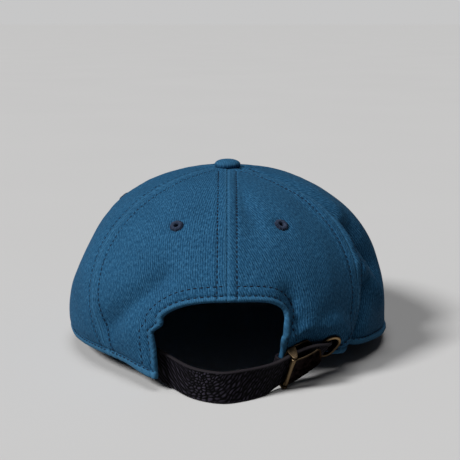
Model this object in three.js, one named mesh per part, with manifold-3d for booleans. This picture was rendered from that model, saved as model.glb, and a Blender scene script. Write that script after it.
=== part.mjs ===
// A soft six-panel cap resting on a table: sewn crown panels with an opening at the back, a covered
// button, sewn eyelets, a visor, and a leather strap with a brass snap buckle and a tuck-in grommet.
// Millimetres, +Z up, +Y towards the visor. Turns are degrees round the crown from the middle of the
// back, growing towards +X, which is the wearer's right.
import * as THREE from "three";
import { mergeVertices } from "three/addons/utils/BufferGeometryUtils.js";
import Module from "manifold-3d";

const wasm = await Module();
wasm.setup();

// Rows of a table as objects, with a property for each named column.
function table(columns, rows) {
  return rows.map((row) => Object.fromEntries(columns.map((column, i) => [column, row[i]])));
}

// Driving dimensions of the crown
const CLOTH = 2; // wall of a panel, outer cloth with its seam allowance and backing
const CROWN_TOP = 97.3; // height of the cloth under the button
const TOP_HOLE = 5; // radius at the top where the panels stop under the button
const SEAM_GAP = 0.6; // between neighbouring panels
const CLEARANCE = 0.35; // between pieces that lie on each other
const BELLY_SHARE = 0.1; // share of a section that lies below its widest point
const RIM_PULL = 3.5; // how quickly the sections swing back from the strap's pull above the rim
const FOLDED_GRID = { across: 16, up: 16 }; // grid cells of a panel with folds
const PLAIN_GRID = { across: 10, up: 12 };
const RISE_POWER = 1.25; // grid rows lie closer together near the rim

// Crown sections, one row for each seam and for each panel's middle line, going round from the back.
// rimTurn and topTurn place the section at the rim and at the top, and the belly is its widest point.
// A shoulder of 2 is a plain ellipse from the belly to the top, and more is squarer.
const SECTIONS = table(
  ["rimTurn", "topTurn", "rimRadius", "rimHeight", "bellyRadius", "bellyHeight", "shoulder"],
  [
    [0, 0, 96, 5, 98, 26, 2.05],
    [20.5, 28, 87.5, 7.5, 95, 25, 2.05],
    [42, 56, 84, 12.5, 89, 24, 2.05],
    [84, 90, 90, 6.6, 89.5, 18, 2.22],
    [121, 121, 88, 7, 89.5, 20, 2.22],
    [151, 150, 93, 12, 94, 28, 2.22],
    [180, 180, 95, 15, 96, 32, 2.2],
    [209, 210, 93, 12, 94, 28, 2.2],
    [239, 239, 88, 7, 89.5, 20, 2.21],
    [276, 270, 88, 8.5, 90, 17, 2.18],
    [319, 303, 88, 10, 91, 22, 2.08],
    [339.5, 332, 97, 6.5, 96, 24, 2.05],
  ],
);
const PANEL_ROWS = 2; // section rows from a seam to the next
const FRONT_SEAM = 6;

// Dents and folds of the soft cloth, one row each, as straight strokes on the crown from one turn and
// height to another. A positive lift stands out and a negative one is a dent.
const FOLD_RADIUS = 90; // turns are measured on this radius
const CROWN_HEART = new THREE.Vector3(0, 0, 12); // cloth moves straight away from this point
const FOLDS = table(
  ["fromTurn", "fromHeight", "toTurn", "toHeight", "halfWidth", "lift"],
  [
    [66, 84, 76, 44, 9.5, -8.5],
    [55, 82, 56, 56, 7, 2],
    [56, 54, 67.5, 32, 6, 3],
    [58.5, 42, 49, 15, 5.5, -3.5],
    [-20, 57, -42, 26, 8, -3],
    [19, 48, 22, 36, 5.5, -3],
    [18, 12, 30, 15, 9, -2.5],
    [10, 86, 12, 80, 8, -1.5],
    [-84, 62, -96, 42, 22, -3],
  ],
);

// How far round a hard piece the cloth is pressed flat, and over what distance that fades
const FLAT_SPOT = {
  buckle: { reach: 14, fade: 7 },
  grommet: { reach: 11.2, fade: 8 },
  eyelet: { reach: 8, fade: 6 },
};

// The opening at the back: half its width to each side of the back seam, in section rows, how square its
// corner is there, and how far up the section it reaches
const OPENING = {
  left: { half: 1.02, squareness: 2.6 },
  right: { half: 0.78, squareness: 4.6 },
};
const OPENING_TOP = 0.27;
const OPENING_SHARE = 0.6; // share of a back panel's lower edge that runs along the opening

// Eyelets, one in each panel
const EYELET = { bore: 1.5, barrel: 2.2, flange: 3.3, flangeThick: 0.7, bevel: 0.4, up: 0.575, sides: 12 };

// Covered button at the top
const BUTTON = {
  radius: 7.3,
  height: 4.4,
  edge: 1.6, // height of its side below the dome
  undercut: 0.6,
  stem: 3.2,
  stemLength: 3,
  sides: 28,
  domeSteps: 5,
};

// Visor: its edge is part of an ellipse, which swings back in at the ends
const VISOR = {
  thick: 3.2,
  halfRows: 2.02, // section rows that it reaches to each side of the front seam
  length: 66,
  halfWidth: 90,
  widestAt: 76, // how far forward of the crown's middle it is widest
  endSwing: 107, // degrees round the ellipse from its tip to its ends
  tipHeight: 14.5,
  across: 28,
  forward: 8,
};

// Strap, one row for each bend: turn, radius and height of its middle, how far its upper edge leans
// out, and its width and thickness there
const STRAP = table(
  ["turn", "radius", "height", "lean", "width", "thick"],
  [
    [-29, 89.6, 15.5, 6, 16, 2.2],
    [-23, 89.2, 11.5, 4, 16, 2.2],
    [-16.5, 91.6, 8.4, 0, 16, 2.2],
    [-10.5, 99.3, 8, 0, 16, 2.2],
    [-5.5, 104, 8, 0, 16, 2.2],
    [-0.5, 105.8, 8, 0, 16, 2.2],
    [5, 102.5, 8, 0, 16, 2.2],
    [10.5, 98.2, 8.15, 5, 16, 2.2],
    [14.5, 94.6, 9.2, 16, 16, 2.2],
    [18.5, 92.6, 11.2, 23, 16, 2.2],
    [23.5, 91.7, 13.7, 24, 16, 2.2],
    [28.5, 91.8, 16, 26, 13.5, 2],
    [31.9, 91.8, 17.2, 34, 10, 1.5],
    [33.6, 91, 17.5, 38, 7.8, 1.4],
    [35.3, 87.4, 18.3, 37, 7.6, 1.4],
    [36.8, 83.8, 19.4, 37, 7.6, 1.4],
    [39, 79.5, 20.5, 38, 7.6, 1.4],
  ],
);
const STRAP_STEPS = 52;

// Oval grommet for the strap's tail, in the right back panel
const GROMMET = {
  row: 1.66,
  up: 0.05,
  slotHalf: { long: 5.6, wide: 4.2 },
  tubeWall: 0.6,
  seat: 0.6,
  flange: 2.1,
  flangeThick: 1,
  backFlange: 1.6,
  backThick: 0.5,
};

// Snap buckle on the strap: x along the strap, y across it towards its upper edge and z outward, from
// the strap's middle
const BUCKLE = {
  share: 0.632, // where it sits along the strap
  halfLength: 7.5,
  lower: -9.4,
  upper: 9.9,
  lowerTaper: 4.2, // how much narrower it is at its free end
  upperTaper: 0.2,
  skew: 0.36, // how much further along the hinged end lies for each millimetre across
  ear: 1,
  earGap: 0.9,
  earEnd: -2.6,
  baseTop: -2,
  base: 0.9,
  earTop: 4.6,
  earRound: 0.9,
  pin: { x: -5.7, z: 3.2, radius: 0.6 },
  barrel: 1.35,
  lid: 0.9,
  lidEnd: 8.4,
  lidBow: 0.8,
  sides: 16,
};

// Tab that ties the buckle to the hem, wrapped round the edge of the opening
const TAB = { lowUp: 0.012, highUp: 0.05, inside: 9, outside: 0.6, thick: 1.2 };

// Colours and finishes
const CLOTH_FINISH = { color: 0x2b5a7a, roughness: 0.9, metalness: 0 };
const THREAD_FINISH = { color: 0x1d3247, roughness: 0.8, metalness: 0 };
const LEATHER_FINISH = { color: 0x1d1b20, roughness: 0.55, metalness: 0 };
const BRASS_FINISH = { color: 0x8a6a3c, roughness: 0.35, metalness: 1 };

const cap = new THREE.Group();

function addPiece(name, geometry, finish, parent = cap) {
  const mesh = new THREE.Mesh(geometry, new THREE.MeshStandardMaterial(finish));
  mesh.name = name;
  parent.add(mesh);
  return mesh;
}

// Smooth curve through four evenly spaced values, between the middle two.
function smoothBetween(before, start, end, after, share) {
  const bend = 2 * before - 5 * start + 4 * end - after;
  const twist = 3 * (start - end) + after - before;
  return start + 0.5 * share * (end - before + share * (bend + share * twist));
}

// A column of the section table at a fractional row of the closed ring of sections.
function sectionValue(column, row) {
  const count = SECTIONS.length;
  const first = Math.floor(row);
  const at = (index) => {
    const wrapped = ((index % count) + count) % count;
    const fullTurns = (index - wrapped) / count;
    return SECTIONS[wrapped][column] + (column.endsWith("Turn") ? 360 * fullTurns : 0);
  };
  return smoothBetween(at(first - 1), at(first), at(first + 1), at(first + 2), row - first);
}

// How far the folds move the cloth at a turn and height.
function foldLift(turn, height) {
  let lift = 0;
  for (const fold of FOLDS) {
    const arc = (degrees) => THREE.MathUtils.degToRad(degrees) * FOLD_RADIUS;
    const wrapped = turn > 180 ? turn - 360 : turn;
    const along = new THREE.Vector2(arc(fold.toTurn - fold.fromTurn), fold.toHeight - fold.fromHeight);
    const from = new THREE.Vector2(arc(wrapped - fold.fromTurn), height - fold.fromHeight);
    const share = THREE.MathUtils.clamp(from.dot(along) / along.lengthSq(), 0, 1);
    const distance = from.addScaledVector(along, -share).length();
    lift += fold.lift * Math.exp(-((distance / fold.halfWidth) ** 2));
  }
  return lift;
}

// Flat spots where a hard piece presses the cloth. One that only holds it back leaves lower cloth alone.
const flatSpots = [];

function pressFlat(point) {
  for (const { center, normal, reach, fade, holdsBack } of flatSpots) {
    const height = point.clone().sub(center).dot(normal);
    const hold = 1 - THREE.MathUtils.smoothstep(point.distanceTo(center), reach, reach + fade);
    point.addScaledVector(normal, -hold * (holdsBack ? Math.max(height, 0) : height));
  }
  return point;
}

// Point on the middle of the crown's cloth, at a fractional section row and a share of the way up.
function crownPoint(row, up) {
  const bellyRadius = sectionValue("bellyRadius", row);
  const bellyHeight = sectionValue("bellyHeight", row);
  const power = 2 / sectionValue("shoulder", row);
  let radius;
  let height;
  if (up < BELLY_SHARE) {
    const below = 1 - up / BELLY_SHARE;
    radius = bellyRadius - (bellyRadius - sectionValue("rimRadius", row)) * below ** 2;
    height = bellyHeight - (bellyHeight - sectionValue("rimHeight", row)) * below;
  } else {
    const last = Math.acos((TOP_HOLE / bellyRadius) ** (1 / power));
    const angle = (last * (up - BELLY_SHARE)) / (1 - BELLY_SHARE);
    radius = bellyRadius * Math.cos(angle) ** power;
    height = bellyHeight + (CROWN_TOP - bellyHeight) * Math.sin(angle) ** power;
  }
  const topTurn = sectionValue("topTurn", row);
  const turn = topTurn + (sectionValue("rimTurn", row) - topTurn) * (1 - up) ** RIM_PULL;
  const point = aroundCrown(turn, radius, height);
  const outward = point.clone().sub(CROWN_HEART).normalize();
  return pressFlat(point.addScaledVector(outward, foldLift(turn, height)));
}

function aroundCrown(turn, radius, height) {
  const angle = THREE.MathUtils.degToRad(turn);
  return new THREE.Vector3(radius * Math.sin(angle), -radius * Math.cos(angle), height);
}

// Short steps along the crown's cloth, round it and up it, and its outward direction.
const STEP = 0.01;

function crownAlong(row, up) {
  return crownPoint(row + STEP, up).sub(crownPoint(row - STEP, up));
}

function crownUpward(row, up) {
  return crownPoint(row, Math.min(up + STEP, 1)).sub(crownPoint(row, Math.max(up - STEP, 0)));
}

function crownNormal(row, up) {
  return crownAlong(row, up).cross(crownUpward(row, up)).normalize();
}

// A closed geometry from two grids of points, the outer one seen with columns running to the right.
function wallGeometry(outer, inner) {
  const columns = outer.length;
  const rows = outer[0].length;
  const points = [...outer.flat(), ...inner.flat()];
  const index = (column, row, inside) => column * rows + row + (inside ? columns * rows : 0);
  const triangles = [];
  const quad = (a, b, c, d) => triangles.push(a, b, c, a, c, d);
  for (let c = 0; c + 1 < columns; c++) {
    for (let r = 0; r + 1 < rows; r++) {
      quad(index(c, r), index(c + 1, r), index(c + 1, r + 1), index(c, r + 1));
      quad(index(c, r, 1), index(c, r + 1, 1), index(c + 1, r + 1, 1), index(c + 1, r, 1));
    }
    quad(index(c, 0, 1), index(c + 1, 0, 1), index(c + 1, 0), index(c, 0));
    quad(index(c, rows - 1), index(c + 1, rows - 1), index(c + 1, rows - 1, 1), index(c, rows - 1, 1));
  }
  const last = columns - 1;
  for (let r = 0; r + 1 < rows; r++) {
    quad(index(0, r), index(0, r + 1), index(0, r + 1, 1), index(0, r, 1));
    quad(index(last, r, 1), index(last, r + 1, 1), index(last, r + 1), index(last, r));
  }
  const geometry = new THREE.BufferGeometry().setFromPoints(points);
  geometry.setIndex(triangles);
  return geometry;
}

function toSolid(geometry) {
  const bare = geometry.index ? geometry.toNonIndexed() : geometry.clone();
  bare.deleteAttribute("normal");
  bare.deleteAttribute("uv");
  const merged = mergeVertices(bare, 1e-4);
  return new wasm.Manifold(
    new wasm.Mesh({
      numProp: 3,
      vertProperties: merged.attributes.position.array,
      triVerts: new Uint32Array(merged.index.array),
    }),
  );
}

function toGeometry(solid) {
  const mesh = solid.getMesh();
  const geometry = new THREE.BufferGeometry();
  geometry.setAttribute("position", new THREE.BufferAttribute(mesh.vertProperties, 3));
  geometry.setIndex(new THREE.BufferAttribute(mesh.triVerts, 1));
  return geometry;
}

// Lower edge of a panel: its rim, or on a back panel the opening's edge and then the rim.
function lowerEdge(panel, share) {
  const { opening } = panel;
  if (!opening || share >= OPENING_SHARE) {
    const start = opening?.half ?? 0;
    const along = opening ? (share - OPENING_SHARE) / (1 - OPENING_SHARE) : share;
    return { across: start + (PANEL_ROWS - start) * along, up: 0 };
  }
  const angle = (Math.PI / 2) * (share / OPENING_SHARE);
  const power = 2 / opening.squareness;
  return {
    across: opening.half * Math.sin(angle) ** power,
    up: OPENING_TOP * Math.cos(angle) ** power,
  };
}

// A panel's cloth wall, between two seams.
function panelGeometry(panel) {
  const outer = [];
  const inner = [];
  for (let c = 0; c <= panel.grid.across; c++) {
    const share = c / panel.grid.across;
    const edge = lowerEdge(panel, share);
    const outerColumn = [];
    const innerColumn = [];
    for (let r = 0; r <= panel.grid.up; r++) {
      const rise = (r / panel.grid.up) ** RISE_POWER;
      const across = THREE.MathUtils.lerp(edge.across, share * PANEL_ROWS, rise);
      const up = THREE.MathUtils.lerp(edge.up, 1, rise);
      const row = panel.from + panel.direction * across;
      const point = crownPoint(row, up);
      const normal = crownNormal(row, up);
      const onSeam = (share === 0 ? 1 : 0) - (share === 1 ? 1 : 0);
      point.addScaledVector(crownAlong(row, up).normalize(), onSeam * panel.direction * (SEAM_GAP / 2));
      outerColumn.push(point.clone().addScaledVector(normal, CLOTH / 2));
      innerColumn.push(point.clone().addScaledVector(normal, -CLOTH / 2));
    }
    outer.push(outerColumn);
    inner.push(innerColumn);
  }
  if (panel.direction < 0) {
    outer.reverse();
    inner.reverse();
  }
  return wallGeometry(outer, inner);
}

// A group placed on the crown's outer face, with its local +Z along the cloth's outward normal and its
// local +Y up the cloth.
function placeOnCrown(row, up) {
  const normal = crownNormal(row, up);
  const across = crownUpward(row, up).cross(normal).normalize();
  const basis = new THREE.Matrix4().makeBasis(across, normal.clone().cross(across), normal);
  const group = new THREE.Group();
  group.position.copy(crownPoint(row, up).addScaledVector(normal, CLOTH / 2));
  group.quaternion.setFromRotationMatrix(basis);
  group.updateMatrix();
  return group;
}

// A spool of sewn thread round a hole: a flange on each face and a barrel through the cloth.
function eyeletGeometry() {
  const top = CLEARANCE;
  const bottom = -CLOTH - CLEARANCE;
  const { bore, barrel, flange, flangeThick, bevel, sides } = EYELET;
  const profile = [
    [bore, bottom - flangeThick],
    [flange - bevel, bottom - flangeThick],
    [flange, bottom],
    [barrel, bottom],
    [barrel, top],
    [flange, top],
    [flange - bevel, top + flangeThick],
    [bore, top + flangeThick],
    [bore, bottom - flangeThick],
  ].map(([x, y]) => new THREE.Vector2(x, y));
  return new THREE.LatheGeometry(profile, sides).rotateX(Math.PI / 2);
}

function eyeletHole() {
  const radius = EYELET.barrel + CLEARANCE;
  const length = 6 * CLOTH;
  return new THREE.CylinderGeometry(radius, radius, length, EYELET.sides).rotateX(Math.PI / 2);
}

// The strap's section at a share of its length: its middle, and its directions along, across (towards its
// upper edge) and outward.
function strapFrame(share) {
  const last = STRAP.length - 1;
  const place = THREE.MathUtils.clamp(share, 0, 1) * last;
  const row = (index) => STRAP[THREE.MathUtils.clamp(index, 0, last)];
  const value = (column, at = place) => {
    const start = Math.min(Math.floor(at), last - 1);
    const four = [start - 1, start, start + 1, start + 2].map((index) => row(index)[column]);
    return smoothBetween(...four, at - start);
  };
  const middle = (at) => aroundCrown(value("turn", at), value("radius", at), value("height", at));
  const step = 0.02;
  const before = Math.max(place - step, 0);
  const after = Math.min(place + step, last);
  const along = middle(after).sub(middle(before)).normalize();
  const level = new THREE.Vector3(along.y, -along.x, 0).normalize();
  const outward = level.applyAxisAngle(along, THREE.MathUtils.degToRad(value("lean")));
  const across = outward.clone().cross(along).normalize();
  return { middle: middle(place), along, across, outward, width: value("width"), thick: value("thick") };
}

// A group that sits on the strap, with its local axes along, across and outward.
function placeOnStrap(share) {
  const { middle, along, across, outward } = strapFrame(share);
  const group = new THREE.Group();
  group.position.copy(middle);
  group.quaternion.setFromRotationMatrix(new THREE.Matrix4().makeBasis(along, across, outward));
  group.updateMatrix();
  return group;
}

// A flat oval with straight sides, its long way along y.
function ovalShape(Kind, halfLong, halfWide) {
  const straight = halfLong - halfWide;
  const shape = new Kind();
  shape.absarc(0, straight, halfWide, 0, Math.PI, false);
  shape.absarc(0, -straight, halfWide, Math.PI, 2 * Math.PI, false);
  shape.closePath();
  return shape;
}

function ovalPlate(grow, bottom, top, bored = true) {
  const { long, wide } = GROMMET.slotHalf;
  const shape = ovalShape(THREE.Shape, long + grow, wide + grow);
  if (bored) shape.holes.push(ovalShape(THREE.Path, long, wide));
  const options = { depth: top - bottom, bevelEnabled: false, curveSegments: 8 };
  return toSolid(new THREE.ExtrudeGeometry(shape, options).translate(0, 0, bottom));
}

// Panels: the section row of their first seam, the way they run from it, and the eyelet's rows past it
const PANELS = table(
  ["name", "from", "direction", "grid", "eyelet", "opening", "grommet"],
  [
    ["back_right", 0, 1, FOLDED_GRID, 0.87, OPENING.right, true],
    ["side_right", 2, 1, FOLDED_GRID, 0.5],
    ["front_right", 4, 1, PLAIN_GRID, 1],
    ["back_left", 0, -1, FOLDED_GRID, 0.8, OPENING.left],
    ["side_left", -2, -1, PLAIN_GRID, 1.6],
    ["front_left", -4, -1, PLAIN_GRID, 1],
  ],
);

function eyeletPlace(panel) {
  return { row: panel.from + panel.direction * panel.eyelet, up: EYELET.up };
}

function outwardOf(group) {
  return new THREE.Vector3(0, 0, 1).applyQuaternion(group.quaternion);
}

function addFlatSpot(center, normal, size, holdsBack = false) {
  flatSpots.push({ center, normal, ...size, holdsBack });
}

const buckleSpot = placeOnStrap(BUCKLE.share);
const buckleNormal = outwardOf(buckleSpot);
const underBuckle = BUCKLE.baseTop - BUCKLE.base - 2 * CLEARANCE - CLOTH / 2;
const buckleSeat = buckleSpot.position.clone().addScaledVector(buckleNormal, underBuckle);
addFlatSpot(buckleSeat, buckleNormal, FLAT_SPOT.buckle, true);

const grommetSpot = placeOnCrown(GROMMET.row, GROMMET.up);
const grommetNormal = outwardOf(grommetSpot);
const grommetSeat = grommetSpot.position.clone().addScaledVector(grommetNormal, -CLOTH / 2);
addFlatSpot(grommetSeat, grommetNormal, FLAT_SPOT.grommet);

for (const panel of PANELS) {
  const { row, up } = eyeletPlace(panel);
  addFlatSpot(crownPoint(row, up), crownNormal(row, up), FLAT_SPOT.eyelet);
}

for (const panel of PANELS) {
  const { row, up } = eyeletPlace(panel);
  const spot = placeOnCrown(row, up);
  const hole = toSolid(eyeletHole().applyMatrix4(spot.matrix));
  let cloth = toSolid(panelGeometry(panel)).subtract(hole);
  if (panel.grommet) {
    const slot = ovalPlate(GROMMET.tubeWall + CLEARANCE, -3 * CLOTH, 2 * CLOTH, false);
    cloth = cloth.subtract(slot.transform(Array.from(grommetSpot.matrix.elements)));
  }
  addPiece(`panel_${panel.name}`, toGeometry(cloth), CLOTH_FINISH);
  addPiece(`eyelet_${panel.name}`, eyeletGeometry(), THREAD_FINISH, spot);
  cap.add(spot);
}

// Covered button with a stem through the hole where the panels meet.
function buttonGeometry() {
  const seat = CROWN_TOP + CLOTH / 2 + CLEARANCE;
  const { radius, height, edge, undercut, stem, stemLength, sides, domeSteps } = BUTTON;
  const stemBottom = seat - stemLength;
  const profile = [new THREE.Vector2(0, stemBottom), new THREE.Vector2(stem, stemBottom)];
  profile.push(new THREE.Vector2(stem, seat), new THREE.Vector2(radius - undercut, seat));
  profile.push(new THREE.Vector2(radius, seat + edge));
  for (let i = 1; i <= domeSteps; i++) {
    const angle = ((Math.PI / 2) * i) / domeSteps;
    const out = i === domeSteps ? 0 : radius * Math.cos(angle);
    profile.push(new THREE.Vector2(out, seat + edge + (height - edge) * Math.sin(angle)));
  }
  return new THREE.LatheGeometry(profile, sides).rotateX(Math.PI / 2);
}
addPiece("button", buttonGeometry(), CLOTH_FINISH);

// Visor: an arched crescent from the front rim, level with it, with its side edges on the table.
function visorGeometry() {
  const { thick, halfRows, length, halfWidth, widestAt, endSwing, tipHeight, across, forward } = VISOR;
  const tip = crownPoint(FRONT_SEAM, 0).y + length;
  const top = [];
  const bottom = [];
  for (let c = 0; c <= across; c++) {
    const side = (2 * c) / across - 1; // from the wearer's left to the right
    const row = FRONT_SEAM - side * halfRows;
    const outward = crownNormal(row, 0).setZ(0).normalize();
    const root = crownPoint(row, 0).addScaledVector(outward, CLOTH / 2 + 2 * CLEARANCE);
    root.z += thick / 2;
    const swing = THREE.MathUtils.degToRad(endSwing * side);
    const edge = new THREE.Vector3();
    edge.x = halfWidth * Math.sin(swing);
    edge.y = widestAt + (tip - widestAt) * Math.cos(swing);
    edge.z = thick / 2 + (tipHeight - thick / 2) * (1 - (edge.x / halfWidth) ** 2);
    const topColumn = [];
    const bottomColumn = [];
    for (let r = 0; r <= forward; r++) {
      const point = root.clone().lerp(edge, r / forward);
      topColumn.push(point.clone().setZ(point.z + thick / 2));
      bottomColumn.push(point.clone().setZ(point.z - thick / 2));
    }
    top.push(topColumn);
    bottom.push(bottomColumn);
  }
  return wallGeometry(top, bottom);
}
addPiece("visor", visorGeometry(), CLOTH_FINISH);

function strapGeometry() {
  const outer = [];
  const inner = [];
  for (let c = 0; c <= STRAP_STEPS; c++) {
    const { middle, across, outward, width, thick } = strapFrame(c / STRAP_STEPS);
    const lower = middle.clone().addScaledVector(across, -width / 2);
    const upper = middle.clone().addScaledVector(across, width / 2);
    outer.push([lower, upper].map((point) => point.clone().addScaledVector(outward, thick / 2)));
    inner.push([lower, upper].map((point) => point.clone().addScaledVector(outward, -thick / 2)));
  }
  return wallGeometry(outer, inner);
}
addPiece("strap", strapGeometry(), LEATHER_FINISH);

// Oval ring on both faces of the cloth, joined by a tube through the slot.
function grommetGeometry() {
  const { seat, tubeWall, flange, flangeThick, backFlange, backThick } = GROMMET;
  const back = -CLOTH - seat;
  const front = ovalPlate(flange, seat, seat + flangeThick);
  const tube = ovalPlate(tubeWall, back - backThick, seat + flangeThick);
  return toGeometry(front.add(tube).add(ovalPlate(backFlange, back - backThick, back)));
}
addPiece("grommet", grommetGeometry(), BRASS_FINISH, grommetSpot);
cap.add(grommetSpot);

// The buckle's hinged end slants across the strap, and its free end stays square to it.
function skewed(solid) {
  const { pin, barrel, lidEnd, upper, skew } = BUCKLE;
  return solid.warp((point) => {
    const slant = THREE.MathUtils.clamp((lidEnd - point[0]) / (lidEnd - pin.x - barrel), 0, 1);
    point[0] += skew * (point[1] - upper) * slant;
  });
}

// A round bar across the strap at the buckle's hinge.
function hingeBar(radius, low, high) {
  const bar = new THREE.CylinderGeometry(radius, radius, high - low, BUCKLE.sides);
  return toSolid(bar.translate(BUCKLE.pin.x, (low + high) / 2, BUCKLE.pin.z));
}

// Frame of the buckle: a base under the strap, an ear at each side of it and the hinge pin between them.
function buckleFrameGeometry() {
  const { halfLength, lower, upper, lowerTaper, upperTaper, baseTop, base, pin } = BUCKLE;
  const { ear, earEnd, earTop, earRound } = BUCKLE;
  const baseBottom = baseTop - base;
  const corners = (pairs) => new THREE.Shape(pairs.map(([x, y]) => new THREE.Vector2(x, y)));
  const plateOutline = corners([
    [-halfLength, lower],
    [earEnd, lower],
    [halfLength, lower + lowerTaper],
    [halfLength, upper - upperTaper],
    [earEnd, upper],
    [-halfLength, upper],
  ]);
  const plate = new THREE.ExtrudeGeometry(plateOutline, { depth: base, bevelEnabled: false });
  const earOutline = corners([
    [-halfLength, baseBottom],
    [earEnd, baseBottom],
    [earEnd, baseTop + earRound],
    [pin.x + earRound, earTop],
    [pin.x - earRound, earTop],
    [-halfLength, earTop - earRound],
  ]);
  const earPlate = (top) => {
    const raw = new THREE.ExtrudeGeometry(earOutline, { depth: ear, bevelEnabled: false });
    return toSolid(raw.rotateX(Math.PI / 2).translate(0, top, 0));
  };
  const ears = earPlate(lower + ear).add(earPlate(upper));
  const pinBar = hingeBar(pin.radius, lower + ear / 2, upper - ear / 2);
  return toGeometry(skewed(toSolid(plate.translate(0, 0, baseBottom)).add(ears).add(pinBar)));
}
addPiece("buckle_frame", buckleFrameGeometry(), BRASS_FINISH, buckleSpot);

// Lid of the buckle: a bowed and tapered plate with a barrel that turns on the pin.
function buckleLeverGeometry() {
  const { lower, upper, lowerTaper, upperTaper, ear, earGap } = BUCKLE;
  const { pin, barrel, lid, lidEnd, lidBow } = BUCKLE;
  const low = lower + ear + earGap;
  const high = upper - ear - earGap;
  const steps = 10;
  const outer = [];
  const inner = [];
  for (let c = 0; c <= steps; c++) {
    const share = c / steps;
    const x = THREE.MathUtils.lerp(pin.x, lidEnd, share);
    const z = pin.z + barrel - lid / 2 + lidBow * Math.sin(Math.PI * share ** 0.8);
    const edges = [low + lowerTaper * share, high - upperTaper * share];
    outer.push(edges.map((y) => new THREE.Vector3(x, y, z + lid / 2)));
    inner.push(edges.map((y) => new THREE.Vector3(x, y, z - lid / 2)));
  }
  const plate = toSolid(wallGeometry(outer, inner));
  const bore = hingeBar(pin.radius + CLEARANCE, low - 1, high + 1);
  return toGeometry(skewed(plate.add(hingeBar(barrel, low, high)).subtract(bore)));
}
addPiece("buckle_lever", buckleLeverGeometry(), BRASS_FINISH, buckleSpot);
cap.add(buckleSpot);

// Tab: a strip of leather from inside the panel, round the edge of the opening, to the buckle's end.
function tabGeometry() {
  const near = CLOTH / 2 + CLEARANCE;
  const far = near + TAB.thick;
  // distance past the hem's edge into the panel and height off the middle of its cloth, for the strip's
  // face against the cloth and for its other face
  const path = [
    { held: [TAB.inside, -near], free: [TAB.inside, -far] },
    { held: [-CLEARANCE, -near], free: [-CLEARANCE, -far] },
    { held: [-CLEARANCE, -near / 2], free: [-CLEARANCE - TAB.thick, -near] },
    { held: [-CLEARANCE, near / 2], free: [-CLEARANCE - TAB.thick, near] },
    { held: [-CLEARANCE, near], free: [-CLEARANCE, far] },
    { held: [TAB.outside, near], free: [TAB.outside, far] },
  ];
  const steps = 4;
  const spot = (up, [past, off]) => {
    const { half, squareness } = OPENING.right;
    const edge = half * (1 - (up / OPENING_TOP) ** squareness) ** (1 / squareness);
    const rowLength = crownAlong(edge, up).length() / (2 * STEP);
    const row = edge + past / rowLength;
    return crownPoint(row, up).addScaledVector(crownNormal(row, up), off);
  };
  const strip = (face) =>
    path.map((place) =>
      Array.from({ length: steps + 1 }, (_, i) => {
        return spot(THREE.MathUtils.lerp(TAB.lowUp, TAB.highUp, i / steps), place[face]);
      }),
    );
  return wallGeometry(strip("free"), strip("held"));
}
addPiece("buckle_tab", tabGeometry(), LEATHER_FINISH);

// The origin is the middle of the cap's footprint on the table.
const box = new THREE.Box3().setFromObject(cap, true);
cap.position.set(-(box.min.x + box.max.x) / 2, -(box.min.y + box.max.y) / 2, -box.min.z);

export default cap;
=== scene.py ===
import math
from types import SimpleNamespace

import bpy
import numpy as np
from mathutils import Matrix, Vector


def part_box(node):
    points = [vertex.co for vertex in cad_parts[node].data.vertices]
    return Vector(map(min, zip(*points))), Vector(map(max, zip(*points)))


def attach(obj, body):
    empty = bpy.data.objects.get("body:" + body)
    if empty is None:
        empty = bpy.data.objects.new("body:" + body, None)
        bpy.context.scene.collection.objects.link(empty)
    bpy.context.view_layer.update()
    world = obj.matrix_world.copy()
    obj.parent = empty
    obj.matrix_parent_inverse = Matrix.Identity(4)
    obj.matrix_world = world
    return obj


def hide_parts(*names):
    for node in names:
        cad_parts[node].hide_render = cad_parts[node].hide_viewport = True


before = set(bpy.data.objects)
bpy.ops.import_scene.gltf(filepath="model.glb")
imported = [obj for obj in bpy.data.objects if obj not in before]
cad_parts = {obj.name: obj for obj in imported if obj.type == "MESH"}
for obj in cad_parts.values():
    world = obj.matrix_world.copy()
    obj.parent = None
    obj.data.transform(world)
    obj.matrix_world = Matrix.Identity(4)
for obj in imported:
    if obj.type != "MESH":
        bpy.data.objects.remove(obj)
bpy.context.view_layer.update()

# Lengths are millimetres round the cap's own axis until in_frame() turns them into the frame's metres.
# Turns are degrees round the crown from the middle of the back, growing towards +X.
MM = 0.001
SEED = 7
CAP_BODY = "cap"
LID_BODY = "buckle_lid"


def table(columns, rows):
    """The columns of a table by name, as arrays."""
    return dict(zip(columns, np.array(rows, float).T))


# Driving dimensions of the crown, as in the part's source
CLOTH = 2.0
CROWN_TOP = 97.3
TOP_HOLE = 5.0
CLEARANCE = 0.35
BELLY_SHARE = 0.1
RIM_PULL = 3.5
PANEL_ROWS = 2
FRONT_SEAM = 6
SECTIONS = table(
    ("rim_turn", "top_turn", "rim_radius", "rim_height", "belly_radius", "belly_height", "shoulder"),
    [
        (0, 0, 96, 5, 98, 26, 2.05),
        (20.5, 28, 87.5, 7.5, 95, 25, 2.05),
        (42, 56, 84, 12.5, 89, 24, 2.05),
        (84, 90, 90, 6.6, 89.5, 18, 2.22),
        (121, 121, 88, 7, 89.5, 20, 2.22),
        (151, 150, 93, 12, 94, 28, 2.22),
        (180, 180, 95, 15, 96, 32, 2.2),
        (209, 210, 93, 12, 94, 28, 2.2),
        (239, 239, 88, 7, 89.5, 20, 2.21),
        (276, 270, 88, 8.5, 90, 17, 2.18),
        (319, 303, 88, 10, 91, 22, 2.08),
        (339.5, 332, 97, 6.5, 96, 24, 2.05),
    ],
)
FOLD_RADIUS = 90
CROWN_HEART = np.array((0, 0, 12.0))
FOLD_COLUMNS = ("from_turn", "from_height", "to_turn", "to_height", "half_width", "lift")
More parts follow.
